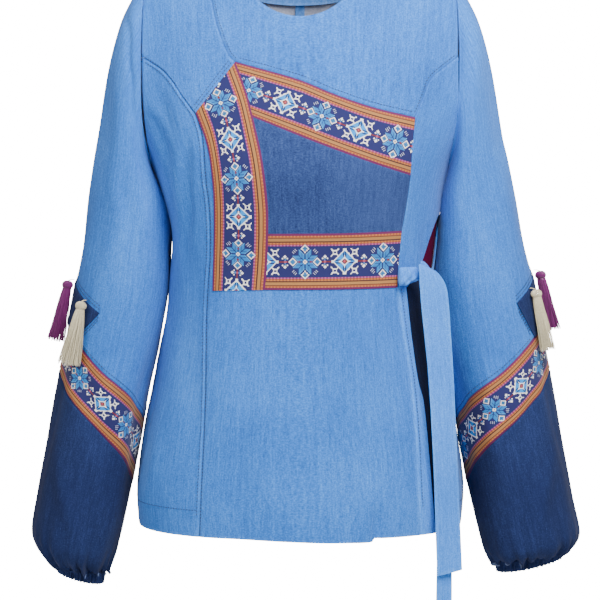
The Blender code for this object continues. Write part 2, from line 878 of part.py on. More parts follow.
def sleeves():
    for side, word in ((-1, "right"), (1, "left")):
        upper, lower = chevron(0), chevron(1)
        cap = [level(ring) for ring in (0.0, 1.0, 2.0, 3.0, 4.0)]
        upper_edges = cap[:-1] + between(level(4.0), upper, 5)
        sleeve_tube(f"sleeve_upper_{word}", side, upper_edges, "light_denim")
        sleeve_tube(f"sleeve_ribbon_{word}", side, between(upper, lower, 2), "woven_ribbon")
        blouson = between(lower, level(GATHER_START), 3)
        blouson += [level(ring) for ring in (12.8, 13.6, 14.3, CUFF_TOP)]
        sleeve_tube(f"sleeve_lower_{word}", side, blouson, "dark_denim")
        cuff = [level(CUFF_TOP), level((CUFF_TOP + CUFF_END) / 2), level(CUFF_END)]
        sleeve_tube(f"cuff_{word}", side, cuff, "dark_denim")
        sleeve_diamond(f"sleeve_diamond_{word}", side)


def sleeve_diamond(name, side):
    upper = chevron(0)
    count = 12
    rows = []
    for i in range(4):
        part = i / 3
        row = []
        for k in range(count + 1):
            angle = DIAMOND_WIDTH * (2 * k / count - 1)
            spread = abs(angle) / DIAMOND_WIDTH
            top = DIAMOND_TOP + (DIAMOND_SIDE - DIAMOND_TOP) * spread
            foot = upper(angle) - 0.02
            if abs(angle) > DIAMOND_FOOT:
                out = (abs(angle) - DIAMOND_FOOT) / (DIAMOND_WIDTH - DIAMOND_FOOT)
                foot += (DIAMOND_SIDE - foot) * out
            ring = top + (foot - top) * part
            row.append(sleeve_entry(side, ring, angle, DIAMOND_LIFT))
        rows.append(row)
    return wall(name, rows, RIBBON, "dark_denim")


# Knot, ties and tassels

def strip(name, table, thickness, material):
    """A flat band from rows of (left edge, right edge)."""
    columns = 3
    rows = []
    for left, right in table:
        a, b = Vector(left), Vector(right)
        rows.append([a.lerp(b, k / columns) for k in range(columns + 1)])
    entries = []
    for i, row in enumerate(rows):
        entry = []
        above, below = rows[max(i - 1, 0)], rows[min(i + 1, len(rows) - 1)]
        for k, point in enumerate(row):
            across = row[-1] - row[0]
            down = below[k] - above[k]
            entry.append((point, down.cross(across).normalized()))
        entries.append(entry)
    return wall(name, entries, thickness, material)


def tie_knot():
    """The loop of the knot: a flattened tube whose open ends face left and right."""
    centre = Vector(KNOT_CENTRE)
    turn = math.radians(KNOT_TURN)
    axis = Vector((math.cos(turn), math.sin(turn), 0))
    out = Vector((math.sin(turn), -math.cos(turn), 0))
    rows = []
    for part in (-1.0, -0.4, 0.4, 1.0):
        swell = 1.0 - 0.12 * part * part
        row = []
        for k in range(16):
            angle = 2 * math.pi * k / 16
            across, rise = math.cos(angle), math.sin(angle)
            point = centre + axis * KNOT_HALF[0] * part
            point += out * KNOT_HALF[1] * across * swell
            slant = 1.0 - KNOT_SLANT * (part + 1) / 2 if rise < 0 else 1.0
            point += Vector((0, 0, KNOT_HALF[2] * rise * swell * slant))
            normal = out * across / KNOT_HALF[1] + Vector((0, 0, rise / KNOT_HALF[2]))
            row.append((point, normal.normalized()))
        rows.append(row)
    return wall("tie_knot", rows, DENIM, "light_denim", closed=True)


def ties():
    tie_knot()
    strip("tie_front", TIE_FRONT, DENIM, "light_denim")
    strip("tie_back", TIE_BACK, DENIM, "light_denim")


def strand(bm, quad, foot):
    """A strand pulled out of the middle of a quad on the underside of a tassel's head."""
    middle = sum((corner.co for corner in quad), Vector()) / 4
    target = middle * TASSEL_SKIRT / TASSEL_ROOT
    target.z = foot
    loops = [list(quad)]
    for centre, size in ((middle, STRAND_ROOT), (target, STRAND_END)):
        loops.append([bm.verts.new(centre + (corner.co - middle) * size) for corner in quad])
    for outer, inner in zip(loops, loops[1:]):
        for k in range(4):
            n = (k + 1) % 4
            bm.faces.new((outer[k], outer[n], inner[n], inner[k]))
    bm.faces.new(loops[-1])


def tassel(name, sleeve, colour, angle, ring, length):
    """A ball head on a short stem, its underside pulled out into separate strands."""
    side = -1 if sleeve == "right" else 1
    normal = sleeve_normal(side, ring, angle)
    root = sleeve_point(side, ring, angle) + normal * (DIAMOND_LIFT + 1.5 * SEAM)
    down = sleeve_point(side, ring + 1.0, angle) - sleeve_point(side, ring, angle)
    down = (down.normalized() + Vector((0, 0, -0.25))).normalized()
    across = down.cross(normal).normalized()
    out = across.cross(down).normalized()
    head = root - out * TASSEL_RINGS[0][0] + down * TASSEL_RINGS[0][1]
    lean = (down * length + out * (TASSEL_SKIRT - TASSEL_ROOT + 1.0)).normalized()
    bm = bmesh.new()
    rings = []
    for x, z, radius, tilt in TASSEL_RINGS:
        turned = math.radians(tilt)
        wide = Vector((math.cos(turned), 0, math.sin(turned)))
        loop = []
        for k in range(TASSEL_SIDES):
            turn = 2 * math.pi * k / TASSEL_SIDES
            offset = wide * math.cos(turn) + Vector((0, math.sin(turn), 0))
            loop.append(bm.verts.new(Vector((x, 0, z)) + offset * radius))
        rings.append(loop)
    bm.faces.new(rings[0])
    bm.faces.new(reversed(rings[-1]))
    strands = 0
    for number, (upper, lower) in enumerate(zip(rings, rings[1:])):
        for k in range(TASSEL_SIDES):
            n = (k + 1) % TASSEL_SIDES
            quad = (upper[k], lower[k], lower[n], upper[n])
            if number in STRAND_BANDS:
                ragged = 1.0 - STRAND_RAGGED * ((strands * 7) % 5) / 4
                strand(bm, quad, -(length - TASSEL_HANG) * ragged)
                strands += 1
            else:
                bm.faces.new(quad)
    for vertex in bm.verts:
        x, y, z = vertex.co
        vertex.co = head + out * x - across * y + (lean if z < 0 else down) * -z
    bmesh.ops.scale(bm, vec=(MM, MM, MM), verts=bm.verts)
    mesh = bpy.data.meshes.new(name)
    bm.to_mesh(mesh)
    bm.free()
    mesh.shade_smooth()
    mesh.set_sharp_from_angle(angle=math.radians(40))
    mesh.materials.append(finish_material(colour))
    piece = bpy.data.objects.new(name, mesh)
    bpy.context.collection.objects.link(piece)
    return piece


def tassels():
    for sleeve, colour, angle, ring, length in TASSELS:
        tassel(f"tassel_{colour}_{sleeve}", sleeve, colour, angle, ring, length)


def build():
    clear_scene()
    note_armhole_normals()
    yoke_and_shoulder()
    side_front_right()
    front_wrap()
    side_tie_panel()
    left_side_pieces()
    back_panels()
    neck_facing()
    sleeves()
    ties()
    tassels()


build()
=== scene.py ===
# %% [markdown]
# # Denim wrap jacket with woven ribbon trim
#
# The real jacket is sewn from light blue denim, with dark denim blouson lower
# sleeves, a figured ribbon that frames a dark inset, a tie at the wearer's left
# waist and two tassels on each sleeve. The imported CAD model gives each sewn piece
# as a plain wall. This lesson dresses it: each piece becomes a thin cloth shell on
# the same form, with its seams, stitches, folds and weave. First the frame is
# loaded.

# %% Load the frame
import json
import math

import bmesh
import bpy
import numpy as np
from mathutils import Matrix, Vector

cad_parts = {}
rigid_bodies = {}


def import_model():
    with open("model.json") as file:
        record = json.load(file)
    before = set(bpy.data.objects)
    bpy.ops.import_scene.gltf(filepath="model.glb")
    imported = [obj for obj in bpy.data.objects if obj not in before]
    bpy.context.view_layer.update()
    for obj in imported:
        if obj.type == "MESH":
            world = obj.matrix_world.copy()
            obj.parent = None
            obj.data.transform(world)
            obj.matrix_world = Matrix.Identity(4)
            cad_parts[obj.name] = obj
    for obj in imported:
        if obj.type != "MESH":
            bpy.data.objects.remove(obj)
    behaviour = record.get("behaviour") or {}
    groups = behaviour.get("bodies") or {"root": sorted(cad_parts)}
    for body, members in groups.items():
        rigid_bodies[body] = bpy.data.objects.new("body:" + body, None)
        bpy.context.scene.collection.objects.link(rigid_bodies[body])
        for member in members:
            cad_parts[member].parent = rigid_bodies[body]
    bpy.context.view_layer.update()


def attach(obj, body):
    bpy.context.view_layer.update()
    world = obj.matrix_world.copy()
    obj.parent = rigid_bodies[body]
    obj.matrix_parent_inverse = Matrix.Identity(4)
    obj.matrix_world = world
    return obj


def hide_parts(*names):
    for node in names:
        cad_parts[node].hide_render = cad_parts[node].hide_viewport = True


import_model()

for thing in bpy.data.objects:
    thing.select_set(False)
MM = 0.001

# %% [markdown]
# The photograph looks straight at the front from about 2.8 m, at the height of the
# chest, with a long lens. The camera is placed at that spot and aimed at
# the middle of the picture; its shift stays at nothing.

# %% Camera
bpy.ops.object.camera_add(location=(0, -2.8, -0.150))
camera = bpy.context.object
camera.name = "photo_camera"
aim = Vector((0, 0, -0.388)) - camera.location
camera.rotation_euler = aim.to_track_quat("-Z", "Y").to_euler()
camera.data.lens = 156.1
camera.data.sensor_width = 36
camera.data.sensor_fit = "HORIZONTAL"
bpy.context.scene.camera = camera
print("camera", [round(value, 3) for value in camera.location])

# %% [markdown]
# A curve through a few measured rows describes the form. The tables repeat the
# sections of the CAD model in millimetres: the body by height, the armhole by
# angle and the sleeve by rings from the shoulder to the cuff. Each table is read
# for many places at once, with a smooth curve through its rows.

# %% Tables of the form
NECK_HALF, SHOULDER_TIP, SHOULDER_SLOPE = 73.0, 165.0, 0.44
NECK_DROP_FRONT, NECK_DROP_BACK = 84.0, 22.0
HEM, ROUNDNESS = -628.0, 2.4
ROLL_FRONT, ROLL_BACK = 200.0, 150.0
# Columns: z, half width, depth in front, depth behind
BODY = [
    (60, 206, 48, 50), (0, 203, 55, 60), (-60, 198, 67, 76), (-110, 193, 84, 90),
    (-160, 187, 100, 98), (-205, 173, 111, 100), (-247, 157.2, 116, 99), (-290, 148.3, 111, 94),
    (-350, 143.4, 102, 87), (-390, 143, 103, 88), (-430, 148.5, 107, 92),
    (-480, 157.5, 112, 99), (-530, 168.5, 118, 107), (-590, 177, 124, 114),
    (-628, 175, 125, 116), (-660, 172, 125, 116),
]
ARMHOLE_MIDDLE, ARMHOLE_HALF = -143.78, 103.3
UNDERARM = -247.1
# Columns: angle from the shoulder tip, how far out
ARMHOLE = [
    (0, SHOULDER_TIP), (30, 166), (60, 167), (90, 167), (120, 165), (150, 159), (180, 157.2),
]
# Columns: ring, outer x, outer z, inner x, inner z, half depth
SLEEVE = [
    (0, 165, -40.5, 156, UNDERARM, 45), (1, 180, -66, 156.8, -253, 50),
    (2, 192.7, -93, 155.8, -258, 54), (3, 201.8, -131, 154.5, -265, 57),
    (4, 211.5, -193, 152, -277, 59.5), (5, 220, -238, 149.8, -297, 61),
    (6, 230, -299, 146, -330, 62), (7, 240, -357, 143.6, -379, 62),
    (8, 250, -412, 153, -432, 62), (9, 260, -469, 166, -489, 62.5),
    (10, 271.6, -525, 174.5, -546, 63), (11, 284.9, -595, 188, -615, 62),
    (12, 290.9, -634, 198, -655, 59), (13, 287, -653, 205, -672, 53),
    (14, 277, -668, 210, -681, 42), (15, 267, -676, 211.5, -684, 33),
    (16, 264, -684, 214, -697, 30),
]
ARMHOLE_BLEND, UNDERARM_SPREAD = 4.0, 0.8
# The left sleeve hangs fuller, and its cuff is moved: outer x, outer z, inner z, half depth
LEFT_SLEEVE_FULLER = 10.0
LEFT_CUFF_MOVED = (12.0, 16.0, 13.0, 4.0)
CUFF_TOP, CUFF_END = 15.0, 16.0
# Small changes of the cloth against the CAD form: where the sleeves rest on the sides
ARMHOLE_PUFF, WAIST_IN, WAIST_OUT = 5.0, 7.5, 4.0
SLEEVE_IN = {-1: 12.0, 1: 2.5}


def smooth_at(table, keys):
    """Columns of a table at many keys, on a smooth curve through its rows."""
    rows = np.array(sorted(table), float)
    key, values = rows[:, 0], rows[:, 1:]
    number = np.arange(len(key))
    below, above = np.maximum(number - 1, 0), np.minimum(number + 1, len(key) - 1)
    slope = (values[above] - values[below]) / (key[above] - key[below])[:, None]
    keys = np.clip(np.asarray(keys, float), key[0], key[-1])
    i = np.clip(np.searchsorted(key, keys, side="right") - 1, 0, len(key) - 2)
    span = (key[i + 1] - key[i])[..., None]
    t = (keys[..., None] - key[i][..., None]) / span
    result = (2 * t**3 - 3 * t**2 + 1) * values[i] + (t**3 - 2 * t**2 + t) * slope[i] * span
    result += (3 * t**2 - 2 * t**3) * values[i + 1] + (t**3 - t**2) * slope[i + 1] * span
    return np.moveaxis(result, -1, 0)


print("half width at the waist", round(float(smooth_at(BODY, -350)[0]), 1))

# %% [markdown]
# The torso is a rounded box section whose depth closes to nothing at the shoulder
# line, and a place on it is an angle round the body and a height. A sleeve place is
# a ring and an angle, 0 on the outer line and 90 at the front. Normals come from
# small steps either way, so folds can later be pushed straight out of the cloth.

# %% Body and sleeve surfaces
def unit(vectors):
    """Vectors of length one that point the way the given ones do."""
    return vectors / np.maximum(np.linalg.norm(vectors, axis=-1, keepdims=True), 1e-9)


def shoulder_line(x):
    """Height of the shoulder's ridge at a distance across; 0 at the neck side."""
    return -(np.abs(x) - NECK_HALF) * SHOULDER_SLOPE


def phi_at(x, z):
    """Angle round the body of front places, 0 at the middle."""
    part = np.minimum(np.abs(x) / smooth_at(BODY, z)[0], 1.0)
    return np.copysign(np.degrees(np.arcsin(part ** (ROUNDNESS / 2))), x)


def eased(value, low, high):
    """Climbs softly from 0 at low to 1 at high."""
    t = np.clip((value - low) / (high - low), 0, 1)
    return t * t * (3 - 2 * t)


def puffed(points):
    """The cloth stands a little forward where the sleeve cap is eased into the armhole."""
    x, y, z = np.abs(points[..., 0]), points[..., 1], points[..., 2]
    centre = np.interp(z, [-190, -66], [168, 177])
    height = ARMHOLE_PUFF * eased(-z, 45, 85) * eased(z, -240, -170) * eased(-y, 2, 14)
    points[..., 1] -= height * np.exp(-((x - centre) / 12.0) ** 2)
    return points


def body_form(phi, z):
    """A place on the bare form of the torso, in millimetres."""
    phi, z = np.broadcast_arrays(np.asarray(phi, float), np.asarray(z, float))
    half, front, back = smooth_at(BODY, z)
    sine, cosine = np.sin(np.radians(phi)), np.cos(np.radians(phi))
    x = np.sign(sine) * half * np.abs(sine) ** (2 / ROUNDNESS)
    x = x + WAIST_IN * np.exp(-((z + 312) / 42) ** 2) * np.clip(-sine, 0, 1) ** 6
    x = x + WAIST_OUT * np.exp(-((z + 318) / 42) ** 2) * np.clip(sine, 0, 1) ** 8
    down = (shoulder_line(x) - z) / np.where(cosine >= 0, ROLL_FRONT, ROLL_BACK)
    depth = np.where(cosine >= 0, front, back) * np.abs(cosine) ** (2 / ROUNDNESS)
    depth = depth * np.sqrt(1 - (1 - np.clip(down, 0, 1)) ** 2)
    return np.stack([x, np.where(cosine >= 0, -depth, depth), z], axis=-1)


def body_at(phi, z):
    """Point on the body of the jacket at an angle round it and a height."""
    return puffed(body_form(phi, z))


def body_normal(phi, z):
    """Way out of the cloth on the body; along the top it turns to the ridge's own."""
    across = body_at(phi + 0.5, z) - body_at(phi - 0.5, z)
    down = body_at(phi, z - 0.5) - body_at(phi, z + 0.5)
    normal = unit(np.cross(down, across))
    x = body_at(phi, z)[..., 0]
    ridge = unit(np.stack([np.copysign(SHOULDER_SLOPE, x), 0 * x, 1 + 0 * x], axis=-1))
    on_top = np.clip((shoulder_line(x) - z - 0.6) / 6.0, 0, 1)[..., None]
    return unit(ridge * (1 - on_top) + normal * on_top)


def armhole_place(side, angle):
    """The armhole as places on the body; angles past 180 are at the back."""
    turned = np.asarray(angle, float) % 360
    folded = np.minimum(turned, 360 - turned)
    z = ARMHOLE_MIDDLE + ARMHOLE_HALF * np.cos(np.radians(folded))
    phi = np.where(folded > 179.9, 90.0, phi_at(smooth_at(ARMHOLE, folded)[0], z))
    at_front = (turned <= 180) & (np.asarray(angle) < 360)
    return np.stack([side * np.where(at_front, phi, 180 - phi), z], axis=-1)


def sleeve_at(side, ring, angle):
    """Point on a sleeve at a ring, counted down the arm, and an angle round it."""
    ring, angle = np.broadcast_arrays(np.asarray(ring, float), np.asarray(angle, float))
    outer_x, outer_z, inner_x, inner_z, depth = smooth_at(SLEEVE, ring)
    if side > 0:
        outer_x = outer_x + LEFT_SLEEVE_FULLER * np.clip((ring - 4.5) / 2.5, 0, 1)
        cuff = [eased(ring, 11.0, 15.5) * moved for moved in LEFT_CUFF_MOVED]
        outer_x, outer_z = outer_x + cuff[0], outer_z + cuff[1]
        inner_z, depth = inner_z + cuff[2], depth + cuff[3]
    inner_x = inner_x - SLEEVE_IN[side] * np.exp(-((ring - 4.9) / 1.9) ** 2)
    cosine, sine = np.cos(np.radians(angle)), np.sin(np.radians(angle))
    point = np.stack([
        (outer_x + inner_x) / 2 + (outer_x - inner_x) / 2 * cosine,
        -depth * sine,
        (outer_z + inner_z) / 2 + (outer_z - inner_z) / 2 * cosine,
    ], axis=-1)
    blend = np.maximum(0.0, 1 - ring / ARMHOLE_BLEND)[..., None] ** 2
    place = armhole_place(side, angle % 360)
    seam = body_form(place[..., 0], place[..., 1])
    seam[..., 0] *= side
    tip = np.abs((angle + 180) % 360 - 180) < 0.01
    seam[..., 1] = np.where(tip, 0.0, seam[..., 1])
    seam[..., 2] = np.where(tip, shoulder_line(seam[..., 0]), seam[..., 2])
    seam[..., 0] += UNDERARM_SPREAD * ((1 - cosine) / 2) ** 2
    _, x0, z0, x1, z1, deep = SLEEVE[0]
    plain = np.stack([
        (x0 + x1) / 2 + (x0 - x1) / 2 * cosine,
        -deep * sine,
        (z0 + z1) / 2 + (z0 - z1) / 2 * cosine,
    ], axis=-1)
    point += (seam - plain) * blend
    point[..., 0] *= side
    return puffed(point)


def sleeve_normal(side, ring, angle):
    """Way out of the cloth on a sleeve."""
    low, high = np.maximum(ring - 0.05, 0.0), ring + 0.05
    down = sleeve_at(side, high, angle) - sleeve_at(side, low, angle)
    around = sleeve_at(side, ring, angle + 1) - sleeve_at(side, ring, angle - 1)
    return unit(np.cross(around, down) * side)


print("shoulder tip", sleeve_at(1, 0.0, 0.0).round(1))

# %% [markdown]
# Cloth never lies as smooth as its pattern. The main creases are soft troughs and
# ridges, each a line drawn in the front, back or outer side view, with its
# width and its height out of the cloth. Real creases fade at both ends and waver a
# little. A very weak, large ripple everywhere stops the cloth from looking pressed.

# %% Folds
# Columns: view, first x, first z, last x, last z, width, height.
# In the outer side view, x is depth, negative at the front; "side" is both sides.
FOLDS = [
    ("front", -185, -70, -175, -190, 3.6, -2.6), ("front", -176, -180, -157, -290, 5, -3.4),
    ("front", -158, -186, -137, -240, 6, -4.5), ("front", -147, -158, -134, -214, 9, -3.2),
    ("front", -129, -225, -127, -372, 6, 3.4), ("front", -117, -205, -119, -350, 6, -2.4),
    ("front", -109, -205, -110, -330, 4, 1.4), ("front", -198, -90, -188, -300, 10, 3.2),
    ("front", -192, -225, -166, -350, 9, -2.6), ("front", -174, -280, -156, -372, 8, 3.0),
    ("front", -214, -250, -222, -370, 12, -2.4), ("front", -146, -490, -168, -606, 9, 3.6),
    ("front", -160, -500, -176, -600, 7, -3.2), ("front", -120, -400, -112, -560, 16, -2.6),
    ("front", 81, -596, 75, -646, 5, -3.4), ("front", 70, -560, 66, -640, 9, 2.0),
    ("front", -40, -480, -30, -640, 18, 2.4), ("front", 20, -420, 30, -600, 20, -2.4),
    ("front", -76, -430, -84, -620, 15, 2.0), ("front", 70, -400, 60, -540, 16, 2.0),
    ("front", 170, -60, 168, -190, 2.5, -1.0), ("front", 187, -55, 184, -200, 9, 2.8),
    ("front", 175, -150, 163, -300, 10, 2.6), ("front", 197, -230, 182, -420, 14, -3.0),
    ("front", 148, -420, 160, -600, 8, -2.6), ("front", 136, -300, 128, -350, 5, -2.2),
    ("front", 222, -180, 232, -340, 12, 2.0), ("front", 142, -165, 126, -250, 9, -2.0),
    ("front", -240, -440, -205, -560, 11, -3.4), ("front", -205, -440, -190, -560, 9, 3.0),
    ("front", -262, -540, -240, -645, 8, 3.0), ("front", -226, -560, -228, -655, 6, -3.0),
    ("front", 262, -440, 225, -560, 11, -3.2), ("front", 196, -440, 208, -560, 9, 3.0),
    ("front", 272, -540, 252, -645, 8, 3.0), ("front", 232, -560, 236, -655, 6, -3.0),
    ("back", -150, -130, -120, -250, 9, -4.0), ("back", 150, -130, 120, -250, 9, -4.0),
    ("back", -128, -210, -70, -330, 11, 3.4), ("back", 128, -205, 76, -320, 11, 3.2),
    ("back", -110, -300, -96, -450, 11, -3.2), ("back", 104, -310, 90, -470, 11, -3.0),
    ("back", -60, -330, -52, -560, 15, 3.0), ("back", 48, -350, 58, -600, 16, 2.8),
    ("back", -20, -420, -14, -630, 12, -2.6), ("back", 120, -440, 130, -620, 12, -3.0),
    ("back", -132, -430, -140, -610, 12, -3.0), ("back", -186, -80, -172, -300, 9, 3.6),
    ("back", 186, -80, 172, -300, 9, 3.6), ("back", 230, -300, 200, -450, 13, -3.0),
    ("back", -232, -310, -204, -450, 13, -3.0), ("back", 0, -60, 4, -130, 24, 1.8),
    ("back", -245, -480, -228, -640, 9, 3.0), ("back", 252, -480, 232, -640, 9, 3.0),
    ("back", -205, -470, -214, -640, 8, -3.0), ("back", 210, -470, 220, -640, 8, -3.0),
    ("side", -20, -90, -10, -300, 12, 2.8), ("side", 22, -120, 26, -330, 12, -3.0),
    ("side", -8, -300, 6, -420, 12, -2.6), ("side", 10, -420, 18, -600, 13, 2.8),
    ("side", -30, -430, -20, -620, 11, -2.6), ("side", 40, -440, 34, -640, 9, -2.4),
]


def pushed(points, normals):
    """How far the folds lift each point of the cloth, in millimetres."""
    lift = np.zeros(points.shape[:-1])
    looks = {"front": (0, -1), "back": (0, 1), "side": (1, 0)}
    for view, x0, z0, x1, z1, width, height in FOLDS:
        flat, sign = looks[view]
        facing = np.abs(normals[..., 0]) if view == "side" else normals[..., 1] * sign
        facing = np.clip(facing * 1.6 - 0.3, 0, 1)
        along = np.array([x1 - x0, z1 - z0], float)
        length = np.hypot(*along)
        along /= length
        dx, dz = points[..., flat] - x0, points[..., 2] - z0
        s = dx * along[0] + dz * along[1]
        waver = 0.25 * width * np.sin(s / (2.2 * width) + x0)
        d = dx * along[1] - dz * along[0] + waver
        t = np.clip(s / length, 0, 1)
        ends = np.sin(np.pi * np.clip(t * 0.94 + 0.03, 0, 1)) ** 0.7
        beyond = np.maximum(np.maximum(-s, s - length), 0)
        shape = np.exp(-(d / width) ** 2) * np.exp(-(beyond / width) ** 2) * ends
        lift += height * shape * facing
    x, y, z = points[..., 0], points[..., 1], points[..., 2]
    ripple = np.sin(x / 23 + 1.3 * np.sin(z / 61)) * np.sin(z / 47 + y / 37 + 0.8)
    ripple += 0.6 * np.sin((x + y) / 13 + z / 90) * np.sin(z / 29 + 2.0)
    return lift + 0.35 * ripple


print("folds", len(FOLDS))

# %% [markdown]
# Each cut piece is a patch between four edges, as on a paper pattern. The edges are
# the seam lines measured on the photograph, in millimetres in the front view, with
# X to the wearer's left. A patch fills the inside evenly from its four edges, and
# every edge is first walked off at even steps, so the mesh stays regular.

# %% Seam lines
SHOULDER_SEAM = [
    (-95, -9.7), (-94.6, -14), (-94.2, -38), (-93, -67), (-87.6, -92), (-76, -122), (-67, -132.7)
]
PRINCESS_TOP = [(-140.4, -144.4), (-120.5, -170.6), (-108.5, -186.5)]
PRINCESS_SIDE = [
    (-101.5, -211), (-98.5, -254), (-95, -286), (-94.5, -330), (-97.7, -381),
    (-99, -433), (-100.1, -485), (-103, -560), (-105.7, -628),
]
RIBBON_UPPER = [(-67, -132.7), (-5.4, -149.6), (34, -165.4), (73.5, -179), (119.6, -190)]
RIGHT_PRINCESS = [(119.6, -190), (125.5, -178), (131.5, -163), (139, -148)]
WRAP_EDGE = [
    (101.5, -368), (108.7, -421), (115.6, -466), (120.5, -520), (122.9, -576), (126.8, -628),
]
FREE_EDGE = [
    (112, -368), (118.5, -424), (124.8, -466), (131.7, -496), (139.6, -583), (143.6, -628),
]
# Free edge of the left side panel, as angle and height
STRAP_FREE = [
    (90, -291), (80, -293.5), (72.5, -304), (67.5, -318), (64.5, -332), (60.8, -344.5), (49.2, -368),
]
# Front edge of the lower left side, as height and angle
SIDE_EDGE = [(-293, 88), (-305, 86), (-330, 82), (-352, 80), (-400, 74), (-628, 72)]
FRAME_OUTER = [
    (-108, -185.4), (-96.6, -216.8), (-91.6, -246.2), (-89.4, -286.4), (-91.2, -371),
]
INNER_TOP = [(-67, -132.7), (-56, -162), (-48.5, -189.5)]
INNER_MIDDLE = [(-48.5, -189.5), (-38.9, -232.4), (-33.4, -278), (-32.8, -309.9)]
INNER_FOOT = [(-32.8, -309.9), (-34, -340), (-36.4, -369)]
RIGHT_TOP = [(119.6, -190), (116.6, -221), (114.7, -250)]
RIGHT_MIDDLE = [(114.7, -250), (110.6, -280), (105.6, -308)]
RIGHT_FOOT = [(105.6, -308), (103, -338), (101.5, -368)]
INSET_UPPER = [(-48.5, -189.5), (14.3, -214.5), (73.7, -236.3), (114.7, -250)]
INSET_LOWER = [(-32.8, -309.9), (36, -309.5), (105.6, -308)]
FRAME_LOWER = [(-36.4, -369), (34, -368.6), (101.5, -368)]
# Ribbon round the sleeve: angle from the outer line, ring of its upper and lower edge
CHEVRON = [
    (0, 7.95, 8.88), (45, 8.24, 9.24), (90, 8.66, 9.68), (135, 9.03, 10.14), (180, 9.50, 10.55),
]


def reach_along(points):
    """Distance walked along a polyline to each of its points."""
    steps = np.linalg.norm(np.diff(points, axis=0), axis=1)
    return np.concatenate([[0], np.cumsum(steps)])


def walked(points, count):
    """Even steps along a polyline, both ends kept."""
    points = np.asarray(points, float)
    reach = reach_along(points)
    marks = np.linspace(0, reach[-1], count + 1)
    return np.stack([np.interp(marks, reach, points[:, c]) for c in range(points.shape[1])], -1)


def curve(points, count=80):
    """Even steps along a smooth curve through the points."""
    keyed = [(number, *point) for number, point in enumerate(points)]
    fine = smooth_at(keyed, np.linspace(0, len(points) - 1, 12 * len(points)))
    return walked(np.stack(fine, axis=-1), count)


def on_body(points, count=80):
    """A smooth line drawn in the front view, as angles and heights on the body."""
    line = curve(points, count)
    return np.stack([phi_at(line[:, 0], line[:, 1]), line[:, 1]], axis=-1)


def patch(top, bottom, left, right):
    """Places between four edges; top and bottom, and left and right, match in count."""
    v = np.linspace(0, 1, len(left))[:, None, None]
    u = np.linspace(0, 1, len(top))[None, :, None]
    sides = (1 - u) * left[:, None] + u * right[:, None]
    ends = (1 - v) * top[None] + v * bottom[None]
    corners = (1 - u) * ((1 - v) * left[0] + v * left[-1])
    corners = corners + u * ((1 - v) * right[0] + v * right[-1])
    return sides + ends - corners


def shoulder_run(start, end, back=False, count=40):
    """A line along the shoulder's ridge, on the front or on the back."""
    x = np.linspace(start, end, count + 1)
    phi = phi_at(x, shoulder_line(x))
    return np.stack([np.copysign(180, x) - phi if back else phi, shoulder_line(x)], axis=-1)


def armhole_run(side, first, last, count=60):
    """A line along an armhole, between two places of its round."""
    return armhole_place(side, np.linspace(first, last, count + 1))


def seam_down(phi, top, foot, count=60):
    """A line straight down the body at one angle."""
    return np.stack([np.full(count + 1, float(phi)), np.linspace(top, foot, count + 1)], -1)


def joined(*lines):
    """Lines set end to end, with each shared corner kept once."""
    return np.concatenate([lines[0]] + [line[1:] for line in lines[1:]])


print("seam lines ready")

# %% [markdown]
# A shell is the cloth itself. Its grid of places gives points on the form; the
# folds move them along the normal, and a sewn edge dips where the seam pulls the
# cloth in, with small puckers beside it. Its UV map is in metres along the cloth,
# so every weave has its true scale. Each vertex also keeps its distance from the
# nearest edge, for wear. Solidify gives the wall its thickness inwards, with the
# paler reverse of the cloth on the inner face.

# %% Cloth shells
CLOTH_WALL = 1.2
CELL = 3.0
# Cloth a degree wide round the torso and round a sleeve, for the weave's scale
PHI_WIDTH, SLEEVE_ANGLE_WIDTH = 2.2, 0.95
# The folded layers beside a seam stand up as a low ridge under its topstitching
RIDGE_HEIGHT, RIDGE_BESIDE, RIDGE_WIDTH = 0.45, 3.4, 1.6


def dips(grid, seams, edges):
    """Distance of each point from the sewn and from all edges, in millimetres."""
    right = np.linalg.norm(np.diff(grid, axis=1), axis=-1)
    down = np.linalg.norm(np.diff(grid, axis=0), axis=-1)
    right = np.concatenate([np.zeros((grid.shape[0], 1)), np.cumsum(right, axis=1)], axis=1)
    down = np.concatenate([np.zeros((1, grid.shape[1])), np.cumsum(down, axis=0)], axis=0)
    far = np.full(grid.shape[:2], 99.0)
    reach = {"l": right, "r": right[:, -1:] - right, "t": down, "b": down[-1:] - down}
    sewn = np.minimum.reduce([far] + [reach[key] for key in seams])
    return sewn, np.minimum.reduce([sewn] + [reach[key] for key in edges])


def sewing_heights(lift, sewn, edge):
    """Height of the cloth out of its form: dips and ridges at seams, puckers, thin edges."""
    rows, columns = sewn.shape
    along = np.arange(1, rows + 1)[:, None] + np.arange(1, columns + 1)[None]
    pucker = 0.22 * np.sin(along * 1.15 + 2 * np.sin(along * 0.31)) * np.exp(-(sewn / 5) ** 2)
    out = lift - 0.8 * np.exp(-(sewn / 1.5) ** 2) + pucker - 0.35 * np.exp(-(edge / 1.2) ** 2)
    return out + RIDGE_HEIGHT * np.exp(-((sewn - RIDGE_BESIDE) / RIDGE_WIDTH) ** 2)


def new_piece(name, points, faces, *materials):
    """A mesh object from points in millimetres, selected and active."""
    mesh = bpy.data.meshes.new(name)
    mesh.from_pydata((points.reshape(-1, 3) * MM).tolist(), [], faces)
    for material in materials:
        mesh.materials.append(material)
    piece = bpy.data.objects.new(name, mesh)
    bpy.context.collection.objects.link(piece)
    bpy.context.view_layer.objects.active = piece
    piece.select_set(True)
    return piece


